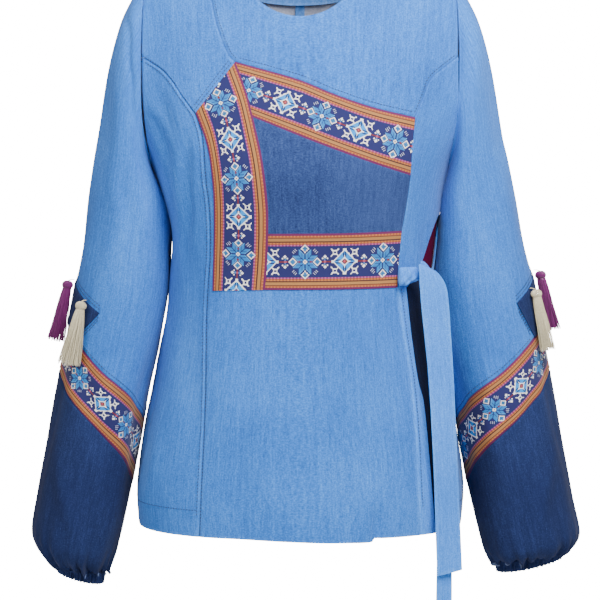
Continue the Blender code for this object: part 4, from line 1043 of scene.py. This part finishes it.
def ribbon_cloth():
    """The figured ribbon: bright stars on navy between warm borders draw the eye to the frame."""
    material, tree, shader = finish("jacquard_ribbon", 0.75, Specular_IOR_Level=0.3, Sheen_Weight=0.1)
    place = add(tree, "ShaderNodeUVMap", uv_map="cloth")
    parts = add(tree, "ShaderNodeSeparateXYZ", {0: place}).node.outputs

    def stepped(socket):
        counted = add(tree, ("FLOOR", ("DIVIDE", ("MULTIPLY", socket, 1000.0), WOVEN_STEP)))
        return add(tree, ("MULTIPLY", ("ADD", counted, 0.5), WOVEN_STEP))

    def within(value, low, high):
        return add(tree, ("MULTIPLY", ("GREATER_THAN", value, low), ("LESS_THAN", value, high)))

    def both(*tests):
        result = tests[0]
        for test in tests[1:]:
            result = add(tree, ("MULTIPLY", result, test))
        return result

    def far(first, x, second, y):
        """Distance from a place as a diamond measures it."""
        return add(tree, ("ADD", ("ABSOLUTE", ("SUBTRACT", first, x)),
                          ("ABSOLUTE", ("SUBTRACT", second, y))))

    woven = NAVY

    def weave(test, hex_colour):
        nonlocal woven
        woven = add(tree, "ShaderNodeMixRGB", {"Fac": test, "Color1": woven, "Color2": hex_colour})

    s, w = stepped(parts[0]), stepped(parts[1])
    y = add(tree, ("ABSOLUTE", w))
    star = add(tree, ("PINGPONG", s, STAR_TO_DIAMOND))
    frost = add(tree, ("SUBTRACT", STAR_TO_DIAMOND, star))
    e = add(tree, ("SUBTRACT", RIBBON_WIDTH / 2, y))
    # The borders, from the field outwards
    zigzag = add(tree, ("PINGPONG", s, 1.75))
    for inner, outer, hex_colour in STRIPES:
        weave(within(e, inner, outer), hex_colour)
    weave(both(within(e, 8.9, 11.1), within(far(e, 8.9, zigzag, 0.0), 0.9, 2.1)), "#B46C34")
    weave(both(within(e, 11.4, 12.5), within(zigzag, -1, 0.8)), "#A45A80")
    weave(both(within(e, 2.4, 3.6), within(zigzag, -1, 0.8)), "#B06E38")
    # Between the motifs
    m = add(tree, ("ABSOLUTE", ("SUBTRACT", star, STAR_TO_DIAMOND / 2)))
    weave(both(within(y, -1, 0.5), within(m, -1, 6.8)), RED)
    weave(both(within(y, 1.4, 3.6), within(m, -1, 0.8)), SKY)
    weave(within(far(y, 5.2, m, 0.0), -1, 1.8), WHITE)
    weave(within(far(y, 3.4, m, 2.4), -1, 1.0), WHITE)
    weave(within(far(y, 0.0, m, 0.0), -1, 1.6), PINK)
    # The frosted diamond: claws at its corners, ring, light field, axes, middle
    low, high = add(tree, ("MINIMUM", frost, y)), add(tree, ("MAXIMUM", frost, y))
    total = add(tree, ("ADD", frost, y))
    claw_x = add(tree, ("ABSOLUTE", ("SUBTRACT", frost, 10.2)))
    claw_y = add(tree, ("ABSOLUTE", ("SUBTRACT", y, 9.3)))
    block = add(tree, ("MAXIMUM", claw_x, claw_y))
    cross = add(tree, ("ABSOLUTE", ("SUBTRACT", claw_x, claw_y)))
    weave(within(block, 1.2, 2.4), WHITE)
    weave(both(within(block, 2.0, 4.2), within(cross, -1, 0.9)), WHITE)
    weave(within(total, -1, 12.9), PALE_SKY)
    weave(both(within(low, 0.6, 1.8), within(high, 4.6, 10.8)), NAVY)
    weave(both(within(low, -1, 0.6), within(high, 3.0, 6.0)), WHITE)
    weave(within(total, 11.0, 12.9), WHITE)
    weave(both(within(high, 11.0, 13.6), within(low, -1, 1.6)), WHITE)
    weave(within(total, 3.4, 4.7), WHITE)
    weave(within(total, -1, 3.2), RED)
    weave(within(total, -1, 1.3), PINK)
    # The star: petals with a dark rib, red marks, middle, diamonds at its points
    low, high = add(tree, ("MINIMUM", star, y)), add(tree, ("MAXIMUM", star, y))
    spread = add(tree, ("SUBTRACT", high, low))
    petal = both(within(low, 0.6, 6.6), within(spread, 0.7, 6.6))
    weave(petal, SKY)
    weave(both(petal, within(add(tree, ("ABSOLUTE", ("SUBTRACT", low, 3.2))), -1, 0.4)), "#123C78")
    weave(both(petal, within(spread, 5.8, 9)), "#4FA0DC")
    weave(within(far(star, 6.2, y, 0.0), -1, 1.5), RED)
    weave(within(far(star, 0.0, y, 0.0), -1, 2.5), WHITE)
    weave(within(far(star, 0.0, y, 0.0), -1, 1.0), RED)
    sum_, gap = add(tree, ("ADD", star, y)), add(tree, ("ABSOLUTE", ("SUBTRACT", star, y)))
    comb = both(within(sum_, 19.0, 24.0), within(gap, -1, 3.9))
    weave(both(comb, within(add(tree, ("PINGPONG", gap, 1.4)), -1, 0.5)), "#B9BCD2")
    for point_x, point_y in ((12.4, 0.0), (0.0, 13.6)):
        away = far(star, point_x, y, point_y)
        weave(within(away, -1, 4.5), WHITE)
        weave(within(away, -1, 3.1), NAVY)
        weave(within(away, -1, 2.4), SKY)
        weave(within(away, -1, 1.2), TEAL)
    tree.links.new(woven, shader.inputs["Base Color"])
    ribs = add(tree, ("SINE", ("MULTIPLY", parts[0], 2 * math.pi / RIB_PITCH)))
    picks = add(tree, ("SINE", ("MULTIPLY", parts[1], 2 * math.pi / PICK_PITCH)))
    relief = add(tree, "ShaderNodeBump", {"Strength": 0.3, "Distance": 0.0004,
                                          "Height": ("MULTIPLY", ribs, picks)})
    tree.links.new(relief, shader.inputs["Normal"])
    return material


RIBBON = (ribbon_cloth(), WINE)


def middle_of(first, second, count=60):
    """The line half way between two edges of a band, in space."""
    a, b = walked(first, count), walked(second, count)
    return (body_at(a[:, 0], a[:, 1]) + body_at(b[:, 0], b[:, 1])) / 2


def front_band(name, node, top, bottom, left, right, middle, start, stretch, upright=False):
    """One straight run of ribbon on the front; start is a star's place in the front view."""
    x, z = start
    place = body_at(phi_at(np.array([x]), np.array([z])), np.array([z]))[0]
    measure = along_band(middle, place)
    places = filled(top, bottom, left, right)
    width = np.linspace(-RIBBON_WIDTH / 2, RIBBON_WIDTH / 2, places.shape[1 if upright else 0])
    width = width[None] if upright else width[:, None]

    def uv(grid):
        along = measure(grid) * stretch
        return np.stack([along, np.broadcast_to(width, along.shape)], axis=-1) * MM

    placed_piece(name, places, RIBBON, node, uv=uv, lift=LAID_LIFT, thickness=0.9, edges="tblr",
                 held="laid", rests_on=["wrap_cloth"])


cut = on_body([FRAME_OUTER[0], RIBBON_UPPER[0]])
outer_line = on_body(FRAME_OUTER)
inner_line = joined(*inner_lines)
foot = walked([outer_line[-1], inner_line[-1]], 20)
upright_middle = middle_of(outer_line[12:], joined(inner_lines[0][40:], *inner_lines[1:]))
front_band("ribbon_upright", "ribbon_vertical", cut, foot, outer_line, inner_line,
           upright_middle, (-63, -252.1), 1.025, upright=True)
front_band("ribbon_upper", "ribbon_top", across_lines[0], across_lines[1], inner_lines[0],
           right_lines[0], middle_of(across_lines[0], across_lines[1]), (23.2, -187.2), 1.019)
front_band("ribbon_lower", "ribbon_bottom", across_lines[2], across_lines[3], inner_lines[2],
           right_lines[2], middle_of(across_lines[2], across_lines[3]), (5.2, -339.6), 0.99)

# %% [markdown]
# Round each sleeve the ribbon is mitred at the outer and the inner line, so its
# front half and its back half are measured apart and meet like two cut ends.

# %% Sleeve ribbons
SLEEVE_STRETCH = 1.06


def sleeve_band(side, word, start):
    """The ribbon round one sleeve; start is a star's place in the front view."""
    angle = np.linspace(0, 180, 61)
    halves = []
    for sign in (1, -1):
        turned = angle * sign
        middle = (sleeve_at(side, chevron(0)(turned), turned)
                  + sleeve_at(side, chevron(1)(turned), turned)) / 2
        begin = middle[np.linalg.norm(middle[:, [0, 2]] - np.array(start), axis=1).argmin()]
        halves.append(along_band(middle, begin))

    def uv(grid, turned):
        columns = [turned[0] >= 360, turned[0] < 360]
        result = np.zeros((*grid.shape[:2], 2))
        for half, mask, sign in zip(halves, columns, (1, -1)):
            result[:, mask, 0] = half(grid[:, mask]) * SLEEVE_STRETCH
            result[:, mask, 1] = np.linspace(-sign, sign, len(grid))[:, None] * RIBBON_WIDTH / 2
        return result * MM

    sleeve_piece(f"sleeve_{word}_ribbon", side, chevron(0), chevron(1), RIBBON,
                 f"sleeve_ribbon_{word}", uv=uv, seams="tb")


sleeve_band(-1, "right", (-240, -472))
sleeve_band(1, "left", (265, -459))

# %% [markdown]
# Inside a real jacket the cut edges of each seam are pressed flat. One narrow strip
# stands for both behind the front seams, so that no light shows through them.

# %% Seam allowances
def allowance(name, line, rests_on):
    """A strip inside a seam line, as wide as the tape of the back."""
    line = walked(line, 60)
    points, normals = body_at(line[:, 0], line[:, 1]), body_normal(line[:, 0], line[:, 1])
    left = unit(np.cross(normals, unit(np.gradient(points, axis=0))))
    wide = np.linspace(-TAPE_HALF, TAPE_HALF, 5)[None, :, None]
    grid = points[:, None] + left[:, None] * wide
    normals = np.broadcast_to(normals[:, None], grid.shape).copy()
    long = np.linspace(0, 1, 61)[:, None] * reach_along(points)[-1]
    uv = np.stack(np.broadcast_arrays(wide[..., 0], -long), axis=-1) * MM
    shell(name, grid, normals, uv, LIGHT_CLOTH, None, lift=-1.8, thickness=0.5, edges="lr",
          held="laid", rests_on=rests_on)


allowance("princess_allowance", joined(princess_upper[2:], princess_lower[:-2]),
          ["wrap_cloth", "side_right_cloth"])
allowance("shoulder_allowance", seam_line[2:], ["shoulder_right_cloth", "yoke_cloth"])
allowance("yoke_allowance", joined(on_body(RIBBON_UPPER)[2:], right_princess[:-2]),
          ["yoke_cloth", "wrap_cloth"])

# %% [markdown]
# The tie is a folded band of the light denim, in its copy with painted light. It comes out of a loop
# at the waist, folds over on a slant and hangs in front; its second end hangs behind. Rows of a
# left and a right point carry it, and a smooth curve runs through them.

# %% Ties
TIE_FRONT = [
    ((113.5, -83.0, -351.0), (113.5, -83.0, -361.5)),
    ((123.5, -78.3, -351.6), (123.5, -78.3, -358.2)),
    ((125.6, -81.0, -344.5), (139.0, -79.0, -352.5)),
    ((124.8, -85.5, -342.8), (143.5, -83.1, -351.0)),
    ((124.4, -90.0, -347.0), (152.3, -86.9, -364.0)),
    ((126.5, -91.5, -383.0), (156.0, -87.0, -385.0)),
    ((131.0, -92.0, -425.0), (159.0, -86.0, -425.0)),
    ((135.6, -93.5, -467.0), (161.5, -86.5, -467.0)),
    ((137.8, -95.5, -512.0), (163.8, -87.0, -512.0)),
    ((140.4, -97.5, -566.0), (166.6, -88.0, -566.0)),
    ((142.6, -99.0, -620.0), (169.2, -89.0, -620.0)),
    ((144.8, -99.8, -671.0), (171.0, -90.0, -666.0)),
]
TIE_BACK = [
    ((113.2, -81.3, -351.5), (113.2, -81.3, -361.5)),
    ((123.6, -76.5, -350.2), (123.2, -76.7, -359.0)),
    ((127.5, -75.5, -340.5), (125.5, -76.1, -368.0)),
    ((136.5, -75.5, -348.5), (127.5, -76.8, -380.0)),
    ((148.0, -77.0, -378.0), (130.0, -78.0, -392.0)),
    ((151.5, -78.5, -420.0), (132.0, -80.5, -420.0)),
    ((153.5, -80.5, -470.0), (135.0, -85.0, -470.0)),
    ((155.5, -83.0, -530.0), (140.0, -90.0, -530.0)),
    ((157.5, -84.5, -600.0), (143.0, -92.5, -600.0)),
    ((159.5, -85.5, -650.0), (143.6, -93.0, -650.0)),
    ((160.0, -86.0, -705.0), (143.4, -93.0, -705.0)),
]


def band(name, table, node, curl):
    """A hanging band; curl rolls its long edges back a little."""
    keyed = [(number, *left, *right) for number, (left, right) in enumerate(table)]
    fine = np.stack(smooth_at(keyed, np.linspace(0, len(table) - 1, 40 * len(table))), axis=-1)
    fine = walked(fine, 150)
    left, right = fine[:, :3], fine[:, 3:]
    u = np.linspace(0, 1, 15)[None, :, None]
    grid = left[:, None] * (1 - u) + right[:, None] * u
    down = np.gradient(grid, axis=0)
    normals = unit(np.cross(down, (right - left)[:, None]))
    u, v = u[0, :, 0], np.linspace(0, 1, 151)[:, None]
    bend = curl * (1 - (2 * u - 1) ** 2) * np.clip(v * 4, 0, 1)
    bend = bend + 0.7 * np.sin(v * 11 + u * 2.5) * np.clip(v * 3, 0, 1)
    wide = np.linalg.norm(right - left, axis=1)[:, None] * (u - 0.5)
    long = reach_along(grid[:, 7])
    uv = np.stack([wide, np.broadcast_to(-long[:, None], wide.shape)], axis=-1) * MM
    shell(name, grid, normals, uv, (PAINTED_LIGHT_DENIM, PAINTED_LIGHT_DENIM), node, lift=bend, thickness=2.0,
          edges="lrb", folds=False, held="folded", rests_on=["knot_cloth"])


KNOT_MIDDLE, KNOT_TURN = (112.9, -82.48, -357.0), math.radians(25)
# Half sizes of the knot: along its axis, out of the front, up
KNOT_LONG, KNOT_DEEP, KNOT_HIGH = 11.0, 5.0, 10.8


def knot_shell():
    """The knot is a flattened loop, wrinkled where the band turns over itself."""
    axis = np.array([math.cos(KNOT_TURN), math.sin(KNOT_TURN), 0])
    out = np.array([math.sin(KNOT_TURN), -math.cos(KNOT_TURN), 0])
    up = np.array([0, 0, 1.0])
    part = np.linspace(-1, 1, 25)[:, None, None]
    angle = np.radians(np.linspace(0, 360, 65)[:-1])[None, :, None]
    cosine, sine = np.cos(angle), np.sin(angle)
    swell = (1 - 0.12 * part**2) * (1 - 0.92 * np.exp(-(part + 1) / 0.06))
    slant = np.where(sine < 0, 1 - 0.6 * (part + 1) / 2, 1.0)
    grid = np.array(KNOT_MIDDLE) + axis * KNOT_LONG * part + out * KNOT_DEEP * cosine * swell
    grid = grid + up * KNOT_HIGH * sine * swell * slant
    normals = unit(out * cosine / KNOT_DEEP + up * sine / KNOT_HIGH + 0 * part)
    wrinkle = 0.8 * np.sin(angle * 3 + part * 5) * np.cos(part * 1.3)
    wrinkle = (wrinkle + 0.5 * np.sin(angle * 5 - part * 7)) * eased(part, -1.0, -0.7)
    wrinkle = wrinkle[..., 0] * np.clip(cosine[..., 0] + 0.6, 0, 1)
    across = part[..., 0] * KNOT_LONG
    uv = np.stack(np.broadcast_arrays(across, np.linspace(0, 54, 65)[None]), -1) * MM
    shell("knot_cloth", grid, normals, uv, (PAINTED_LIGHT_DENIM, PAINTED_LIGHT_DENIM), "tie_knot", closed=True,
          lift=wrinkle, folds=False, held="folded", rests_on=["wrap_band_cloth"], edges="tb")


knot_shell()
band("tie_front_cloth", TIE_FRONT, "tie_front", 1.2)
band("tie_back_cloth", TIE_BACK, "tie_back", 0.8)

# %% [markdown]
# The seams are topstitched in a dark grey thread. On the machine one stitch is a short
# loop of thread that dips into the cloth at both ends, so a single rounded dash is
# modelled and copied along every line at a pitch of 3.4 mm. A line runs a few
# millimetres beside its seam, on the folded cloth. The dark dash gives the eye the
# thin broken line that it finds beside every seam.

# %% Topstitching
STITCH_PITCH, STITCH_LONG, STITCH_WIDE = 3.4, 2.4, 0.95
HEM_DEPTH, SLEEVE_STITCH_LIFT = 28.0, 0.4
# Lines beside a patch: whether at its lower edge, how far from the edge in rings
PATCH_LINES = [(False, -0.06), (False, -0.13), (True, 0.06), (True, 0.13)]
bpy.ops.mesh.primitive_uv_sphere_add(segments=6, ring_count=4, radius=0.5)
dash = bpy.context.object
DASH = np.array([vertex.co[:] for vertex in dash.data.vertices])[:, [2, 0, 1]]
DASH = DASH * [STITCH_LONG, STITCH_WIDE, STITCH_WIDE * 0.7]
DASH_FACES = [list(polygon.vertices) for polygon in dash.data.polygons]
bpy.data.objects.remove(dash)
GREY_THREAD = finish("polyester_thread_grey", 0.6, Base_Color="#2A2A34")[0]
thread_blocks = []


def stitch(points, normals, beside, lift=0.0):
    """A line of stitches some way beside a line, to its left as seen from outside."""
    reach = reach_along(points)
    marks = np.arange(STITCH_PITCH, reach[-1] - STITCH_PITCH / 2, STITCH_PITCH)
    middle = np.stack([np.interp(marks, reach, points[:, c]) for c in range(3)], axis=-1)
    normal = unit(np.stack([np.interp(marks, reach, normals[:, c]) for c in range(3)], axis=-1))
    forward = unit(np.gradient(middle, axis=0))
    left = unit(np.cross(normal, forward))
    middle = middle + left * beside
    ridge = RIDGE_HEIGHT * math.exp(-((abs(beside) - RIDGE_BESIDE) / RIDGE_WIDTH) ** 2)
    middle = middle + normal * (pushed(middle, normal) + lift + ridge + 0.1)[:, None]
    forward = unit(np.gradient(middle, axis=0))
    placed = (middle[:, None] + DASH[None, :, :1] * forward[:, None]
              + DASH[None, :, 1:2] * left[:, None] + DASH[None, :, 2:] * normal[:, None])
    thread_blocks.append(placed)


def stitch_body(places, beside, lift=0.0):
    """Stitches beside a line given as angles and heights on the body."""
    stitch(body_at(places[:, 0], places[:, 1]), body_normal(places[:, 0], places[:, 1]), beside, lift)


def turned_outward():
    """Makes the faces of the active object's closed threads point outwards."""
    bpy.ops.object.mode_set(mode="EDIT")
    bpy.ops.mesh.select_all(action="SELECT")
    bpy.ops.mesh.normals_make_consistent(inside=False)
    bpy.ops.object.mode_set(mode="OBJECT")


def sew(name):
    """Join the stitches laid since the last call into one object."""
    blocks = np.concatenate(thread_blocks)
    thread_blocks.clear()
    faces = [[number * len(DASH) + corner for corner in face]
             for number in range(len(blocks)) for face in DASH_FACES]
    piece = new_piece(name, blocks, faces, GREY_THREAD)
    turned_outward()
    bpy.ops.object.shade_smooth()
    piece.select_set(False)
    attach(piece, "root")
    print(f"{name}: {len(blocks)} stitches")


def stitch_sleeve(side, ring, angle):
    """Stitches on a line of a sleeve, lifted clear of the folded cloth."""
    stitch(sleeve_at(side, ring, angle), sleeve_normal(side, ring, angle), 0.0, SLEEVE_STITCH_LIFT)


def hem_line(first, last, count):
    """A level line round the body, as far above the hem as the hem is deep."""
    return np.stack([np.linspace(first, last, count), np.full(count, HEM + HEM_DEPTH)], axis=-1)


princess = joined(princess_upper[2:], princess_lower)
stitch_body(princess, 0.9)
stitch_body(princess[3:-4], -3.6)
stitch_body(seam_line, 3.4)
stitch_body(on_body(RIBBON_UPPER), 5.6)
for beside in (3.4, 7.2):
    stitch_body(on_body([PRINCESS_TOP[-1], SHOULDER_SEAM[-1]], 40), beside)
stitch_body(right_princess[2:], 3.0)
stitch_body(on_body(WRAP_EDGE)[:72], 4.6, LAID_LIFT)
sew("front_topstitching")
stitch_body(hem_line(-180, float(phi_at(-106.0, -600.0)), 400), 0.0)
stitch_body(hem_line(72, 180, 300), 0.0)
for beside in (3.4, -3.4):
    stitch_body(seam_down(180, -30, HEM + 4), beside)
sew("hem_and_back_topstitching")
for side, word in ((-1, "right"), (1, "left")):
    angle = np.linspace(-PATCH_REACH[side], PATCH_REACH[side], 80)
    for lower, away in PATCH_LINES:
        ring = patch_edge(side, lower)(angle) + away
        kept = np.abs(angle) > (44 if lower else 0)
        for part in (kept & (angle < 0), kept & (angle > 0)):
            stitch_sleeve(side, ring[part], angle[part])
    angle = np.linspace(46, 314, 190)
    stitch_sleeve(side, chevron(0)(angle) - 0.08, angle)
    sew(f"sleeve_{word}_topstitching")

# %% [markdown]
# Each tassel hangs from a thread loop at the corner patch: a ball head wrapped in
# thread, a bound neck, and a skirt of rayon threads that flares and ends unevenly.
# One thread is modelled as a four-sided tube, then repeated round the head.

# %% Tassels
TASSEL_STEM = (-6.6, 7.6)
TASSEL_HEAD, TASSEL_NECK = 5.7, 4.2
# Columns: threads in one ring of the skirt, its radius at the neck
SKIRT = [(46, 4.2), (38, 3.4), (26, 2.4), (12, 1.1)]
# Columns: sleeve, colour, angle and ring of its root, length, how far the skirt flares
TASSELS = [
    ("right", "plum", 14, 7.14, 68, 1.6), ("right", "cream", 52, 7.42, 70, 2.2),
    ("left", "cream", 34, 7.25, 68, 1.35), ("left", "plum", 2, 6.98, 67, 1.5),
]


def thread_finish(name, deep, pale):
    """Rayon thread, whose soft lustre sets the tassels off from the matt denim."""
    material, tree, shader = finish(name, 0.45, Specular_IOR_Level=0.45, Sheen_Weight=0.3,
                                    Sheen_Roughness=0.4)
    place = add(tree, "ShaderNodeTexCoord").node.outputs["Object"]
    tint = add(tree, "ShaderNodeTexNoise", {"Vector": place, "Scale": 700.0, "Detail": 2.0})
    colour = add(tree, "ShaderNodeMixRGB", {"Fac": tint, "Color1": deep, "Color2": pale})
    tree.links.new(colour, shader.inputs["Base Color"])
    return material


THREADS = {
    "plum": thread_finish("rayon_thread_plum", "#480E42", "#7C1E6E"),
    "cream": thread_finish("rayon_thread_cream", "#9A9070", "#DCD2B4"),
}


def tube(path, radius, sides=4):
    """Vertices and faces of a tube through points; it tapers to its end."""
    path = np.asarray(path, float)
    tangent = unit(np.gradient(path, axis=0))
    first = unit(np.cross(tangent, np.array([0.3, 0.9, 0.31])))
    second = np.cross(tangent, first)
    turn = np.linspace(0, 2 * np.pi, sides, endpoint=False)
    taper = np.linspace(1, 0.75, len(path))[:, None, None] * radius
    ring = first[:, None] * np.cos(turn)[None, :, None] + second[:, None] * np.sin(turn)[None, :, None]
    verts = (path[:, None] + ring * taper).reshape(-1, 3)
    i, j = np.meshgrid(np.arange(len(path) - 1), np.arange(sides), indexing="ij")
    k = (j + 1) % sides
    faces = np.stack([i * sides + j, i * sides + k, (i + 1) * sides + k, (i + 1) * sides + j], -1)
    faces = faces.reshape(-1, 4).tolist()
    caps = [list(range(sides))[::-1], list(range(len(verts) - sides, len(verts)))]
    return verts, faces + caps


def coil(radius, turn, height):
    """Points at a radius, an angle and a height round the tassel's middle line."""
    return np.stack(np.broadcast_arrays(radius * np.cos(turn), radius * np.sin(turn), height), -1)


def tassel_threads(length, flare, rng):
    """Every thread of a tassel that hangs from the origin: skirt, head, binding, stem."""
    t = np.linspace(0, 1, 9)
    for count, r0 in SKIRT:
        for number in range(count):
            turn = 2 * math.pi * (number + 0.5 * rng.random()) / count
            reach = (length - 7.0) * (0.93 + 0.07 * rng.random())
            r1 = r0 * (1.15 * flare + 0.4 * rng.random())
            radius = r0 + (r1 - r0) * t ** 0.8 + 0.25 * np.sin(t * 7 + number)
            swing = turn + 0.05 * np.sin(t * 5 + number * 1.7)
            yield tube(coil(radius, swing, -2.6 - (reach - 2.6) * t), 0.42)
    rise = np.linspace(-2.4, 5.4, 10)
    round_head = TASSEL_HEAD * np.sqrt(np.clip(1 - ((rise - 1.2) / 4.6) ** 2, 0.02, 1))
    for start in np.linspace(0, 2 * np.pi, 40, endpoint=False):
        yield tube(coil(round_head, start + rise * 0.06, rise), 0.5)
    for height in (-2.2, -3.1, -4.0):
        yield tube(coil(TASSEL_NECK, np.linspace(0, 2 * np.pi, 29), height), 0.55)
    t = np.linspace(0, 1, 28)
    stem_out, stem_up = TASSEL_STEM
    for shift in (-0.5, 0.5):
        rise = 5.2 + (stem_up - 5.2) * np.sin(t * 1.57)
        yield tube(np.stack([stem_out * t ** 1.5, shift + 0 * t, rise], -1), 0.5)


def tassel(sleeve, colour, angle, ring, length, flare, seed):
    """A tassel at a place of the sleeve; its skirt leans out of the way of the cloth."""
    side = -1 if sleeve == "right" else 1
    normal = Vector(sleeve_normal(side, np.array(ring), np.array(angle)))
    root = Vector(sleeve_at(side, ring, angle)) + normal * 2.25
    down = Vector(sleeve_at(side, ring + 1.0, angle) - sleeve_at(side, ring, angle))
    down = (down.normalized() + Vector((0, 0, -0.25))).normalized()
    across = down.cross(normal).normalized()
    out = across.cross(down).normalized()
    head = root - out * TASSEL_STEM[0] + down * TASSEL_STEM[1]
    lean = (down * length + out * 5.1).normalized()
    verts, faces, start = [], [], 0
    for local, polygons in tassel_threads(length, flare, np.random.default_rng(seed)):
        fall = np.where(local[:, 2:] < 0, np.array(lean), np.array(down))
        verts.append(np.array(head) + local[:, :1] * np.array(out)
                     - local[:, 1:2] * np.array(across) - local[:, 2:] * fall)
        faces.extend([[start + corner for corner in polygon] for polygon in polygons])
        start += len(local)
    piece = new_piece(f"tassel_{colour}_{sleeve}_threads", np.concatenate(verts), faces,
                      THREADS[colour])
    turned_outward()
    bpy.ops.object.shade_smooth_by_angle(angle=math.radians(60))
    piece.select_set(False)
    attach(piece, "root")
    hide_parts(f"tassel_{colour}_{sleeve}")
    print(f"{piece.name}: {len(piece.data.polygons)} faces")


for number, row in enumerate(TASSELS):
    tassel(*row, seed=number + 3)

# %% [markdown]

# %% [markdown]
# A plain pale studio. One large soft light hangs close above the front on the
# wearer's left, so the chest is brighter than the hem as in the photograph, and two
# weak ones fill the other side and the back. Floor and air look almost white to the
# camera, but light the cloth only weakly, so the folds keep their shade.

# %% Studio
def glows_for_camera(tree, plain, strength):
    """Mix a plain shader with a bright white one that only the camera sees."""
    bright = add(tree, "ShaderNodeEmission", {"Color": (1, 1, 1, 1), "Strength": strength})
    path = add(tree, "ShaderNodeLightPath")
    return add(tree, "ShaderNodeMixShader", {0: path, 1: plain, 2: bright})


bpy.ops.mesh.primitive_plane_add(size=12, location=(0, 2.0, -0.74))
floor = bpy.context.object
floor.name = "studio_floor"
bpy.ops.object.transform_apply(location=True, rotation=True, scale=True)
paper, tree, shader = finish("white_paper", 0.95)
shader.inputs["Base Color"].default_value = linear("#BFBFBF")
shown = glows_for_camera(tree, shader.outputs[0], 17.0)
tree.links.new(shown, tree.nodes["Material Output"].inputs["Surface"])
floor.data.materials.append(paper)
floor.select_set(False)


def light(name, place, size, power, target=(0, 0, -0.36)):
    """A square soft light at a place, turned towards the middle of the jacket."""
    bpy.ops.object.light_add(type="AREA", location=place)
    lamp = bpy.context.object
    lamp.name = name
    lamp.data.size = size
    lamp.data.energy = power
    lamp.rotation_euler = (Vector(target) - lamp.location).to_track_quat("-Z", "Y").to_euler()
    lamp.select_set(False)


light("key", (0.5, -1.05, 0.72), 0.8, 54)
light("fill", (-1.4, -1.7, 0.3), 1.4, 24)
light("behind", (0.2, 1.8, 1.0), 1.4, 38)
air = bpy.data.worlds.new("studio_air")
bpy.context.scene.world = air
air.use_nodes = True
tree = air.node_tree
plain = tree.nodes["Background"]
plain.inputs["Color"].default_value = (1.0, 0.94, 0.88, 1)
plain.inputs["Strength"].default_value = 0.45
shown = glows_for_camera(tree, plain.outputs[0], 17.0)
tree.links.new(shown, tree.nodes["World Output"].inputs["Surface"])
print("studio ready")
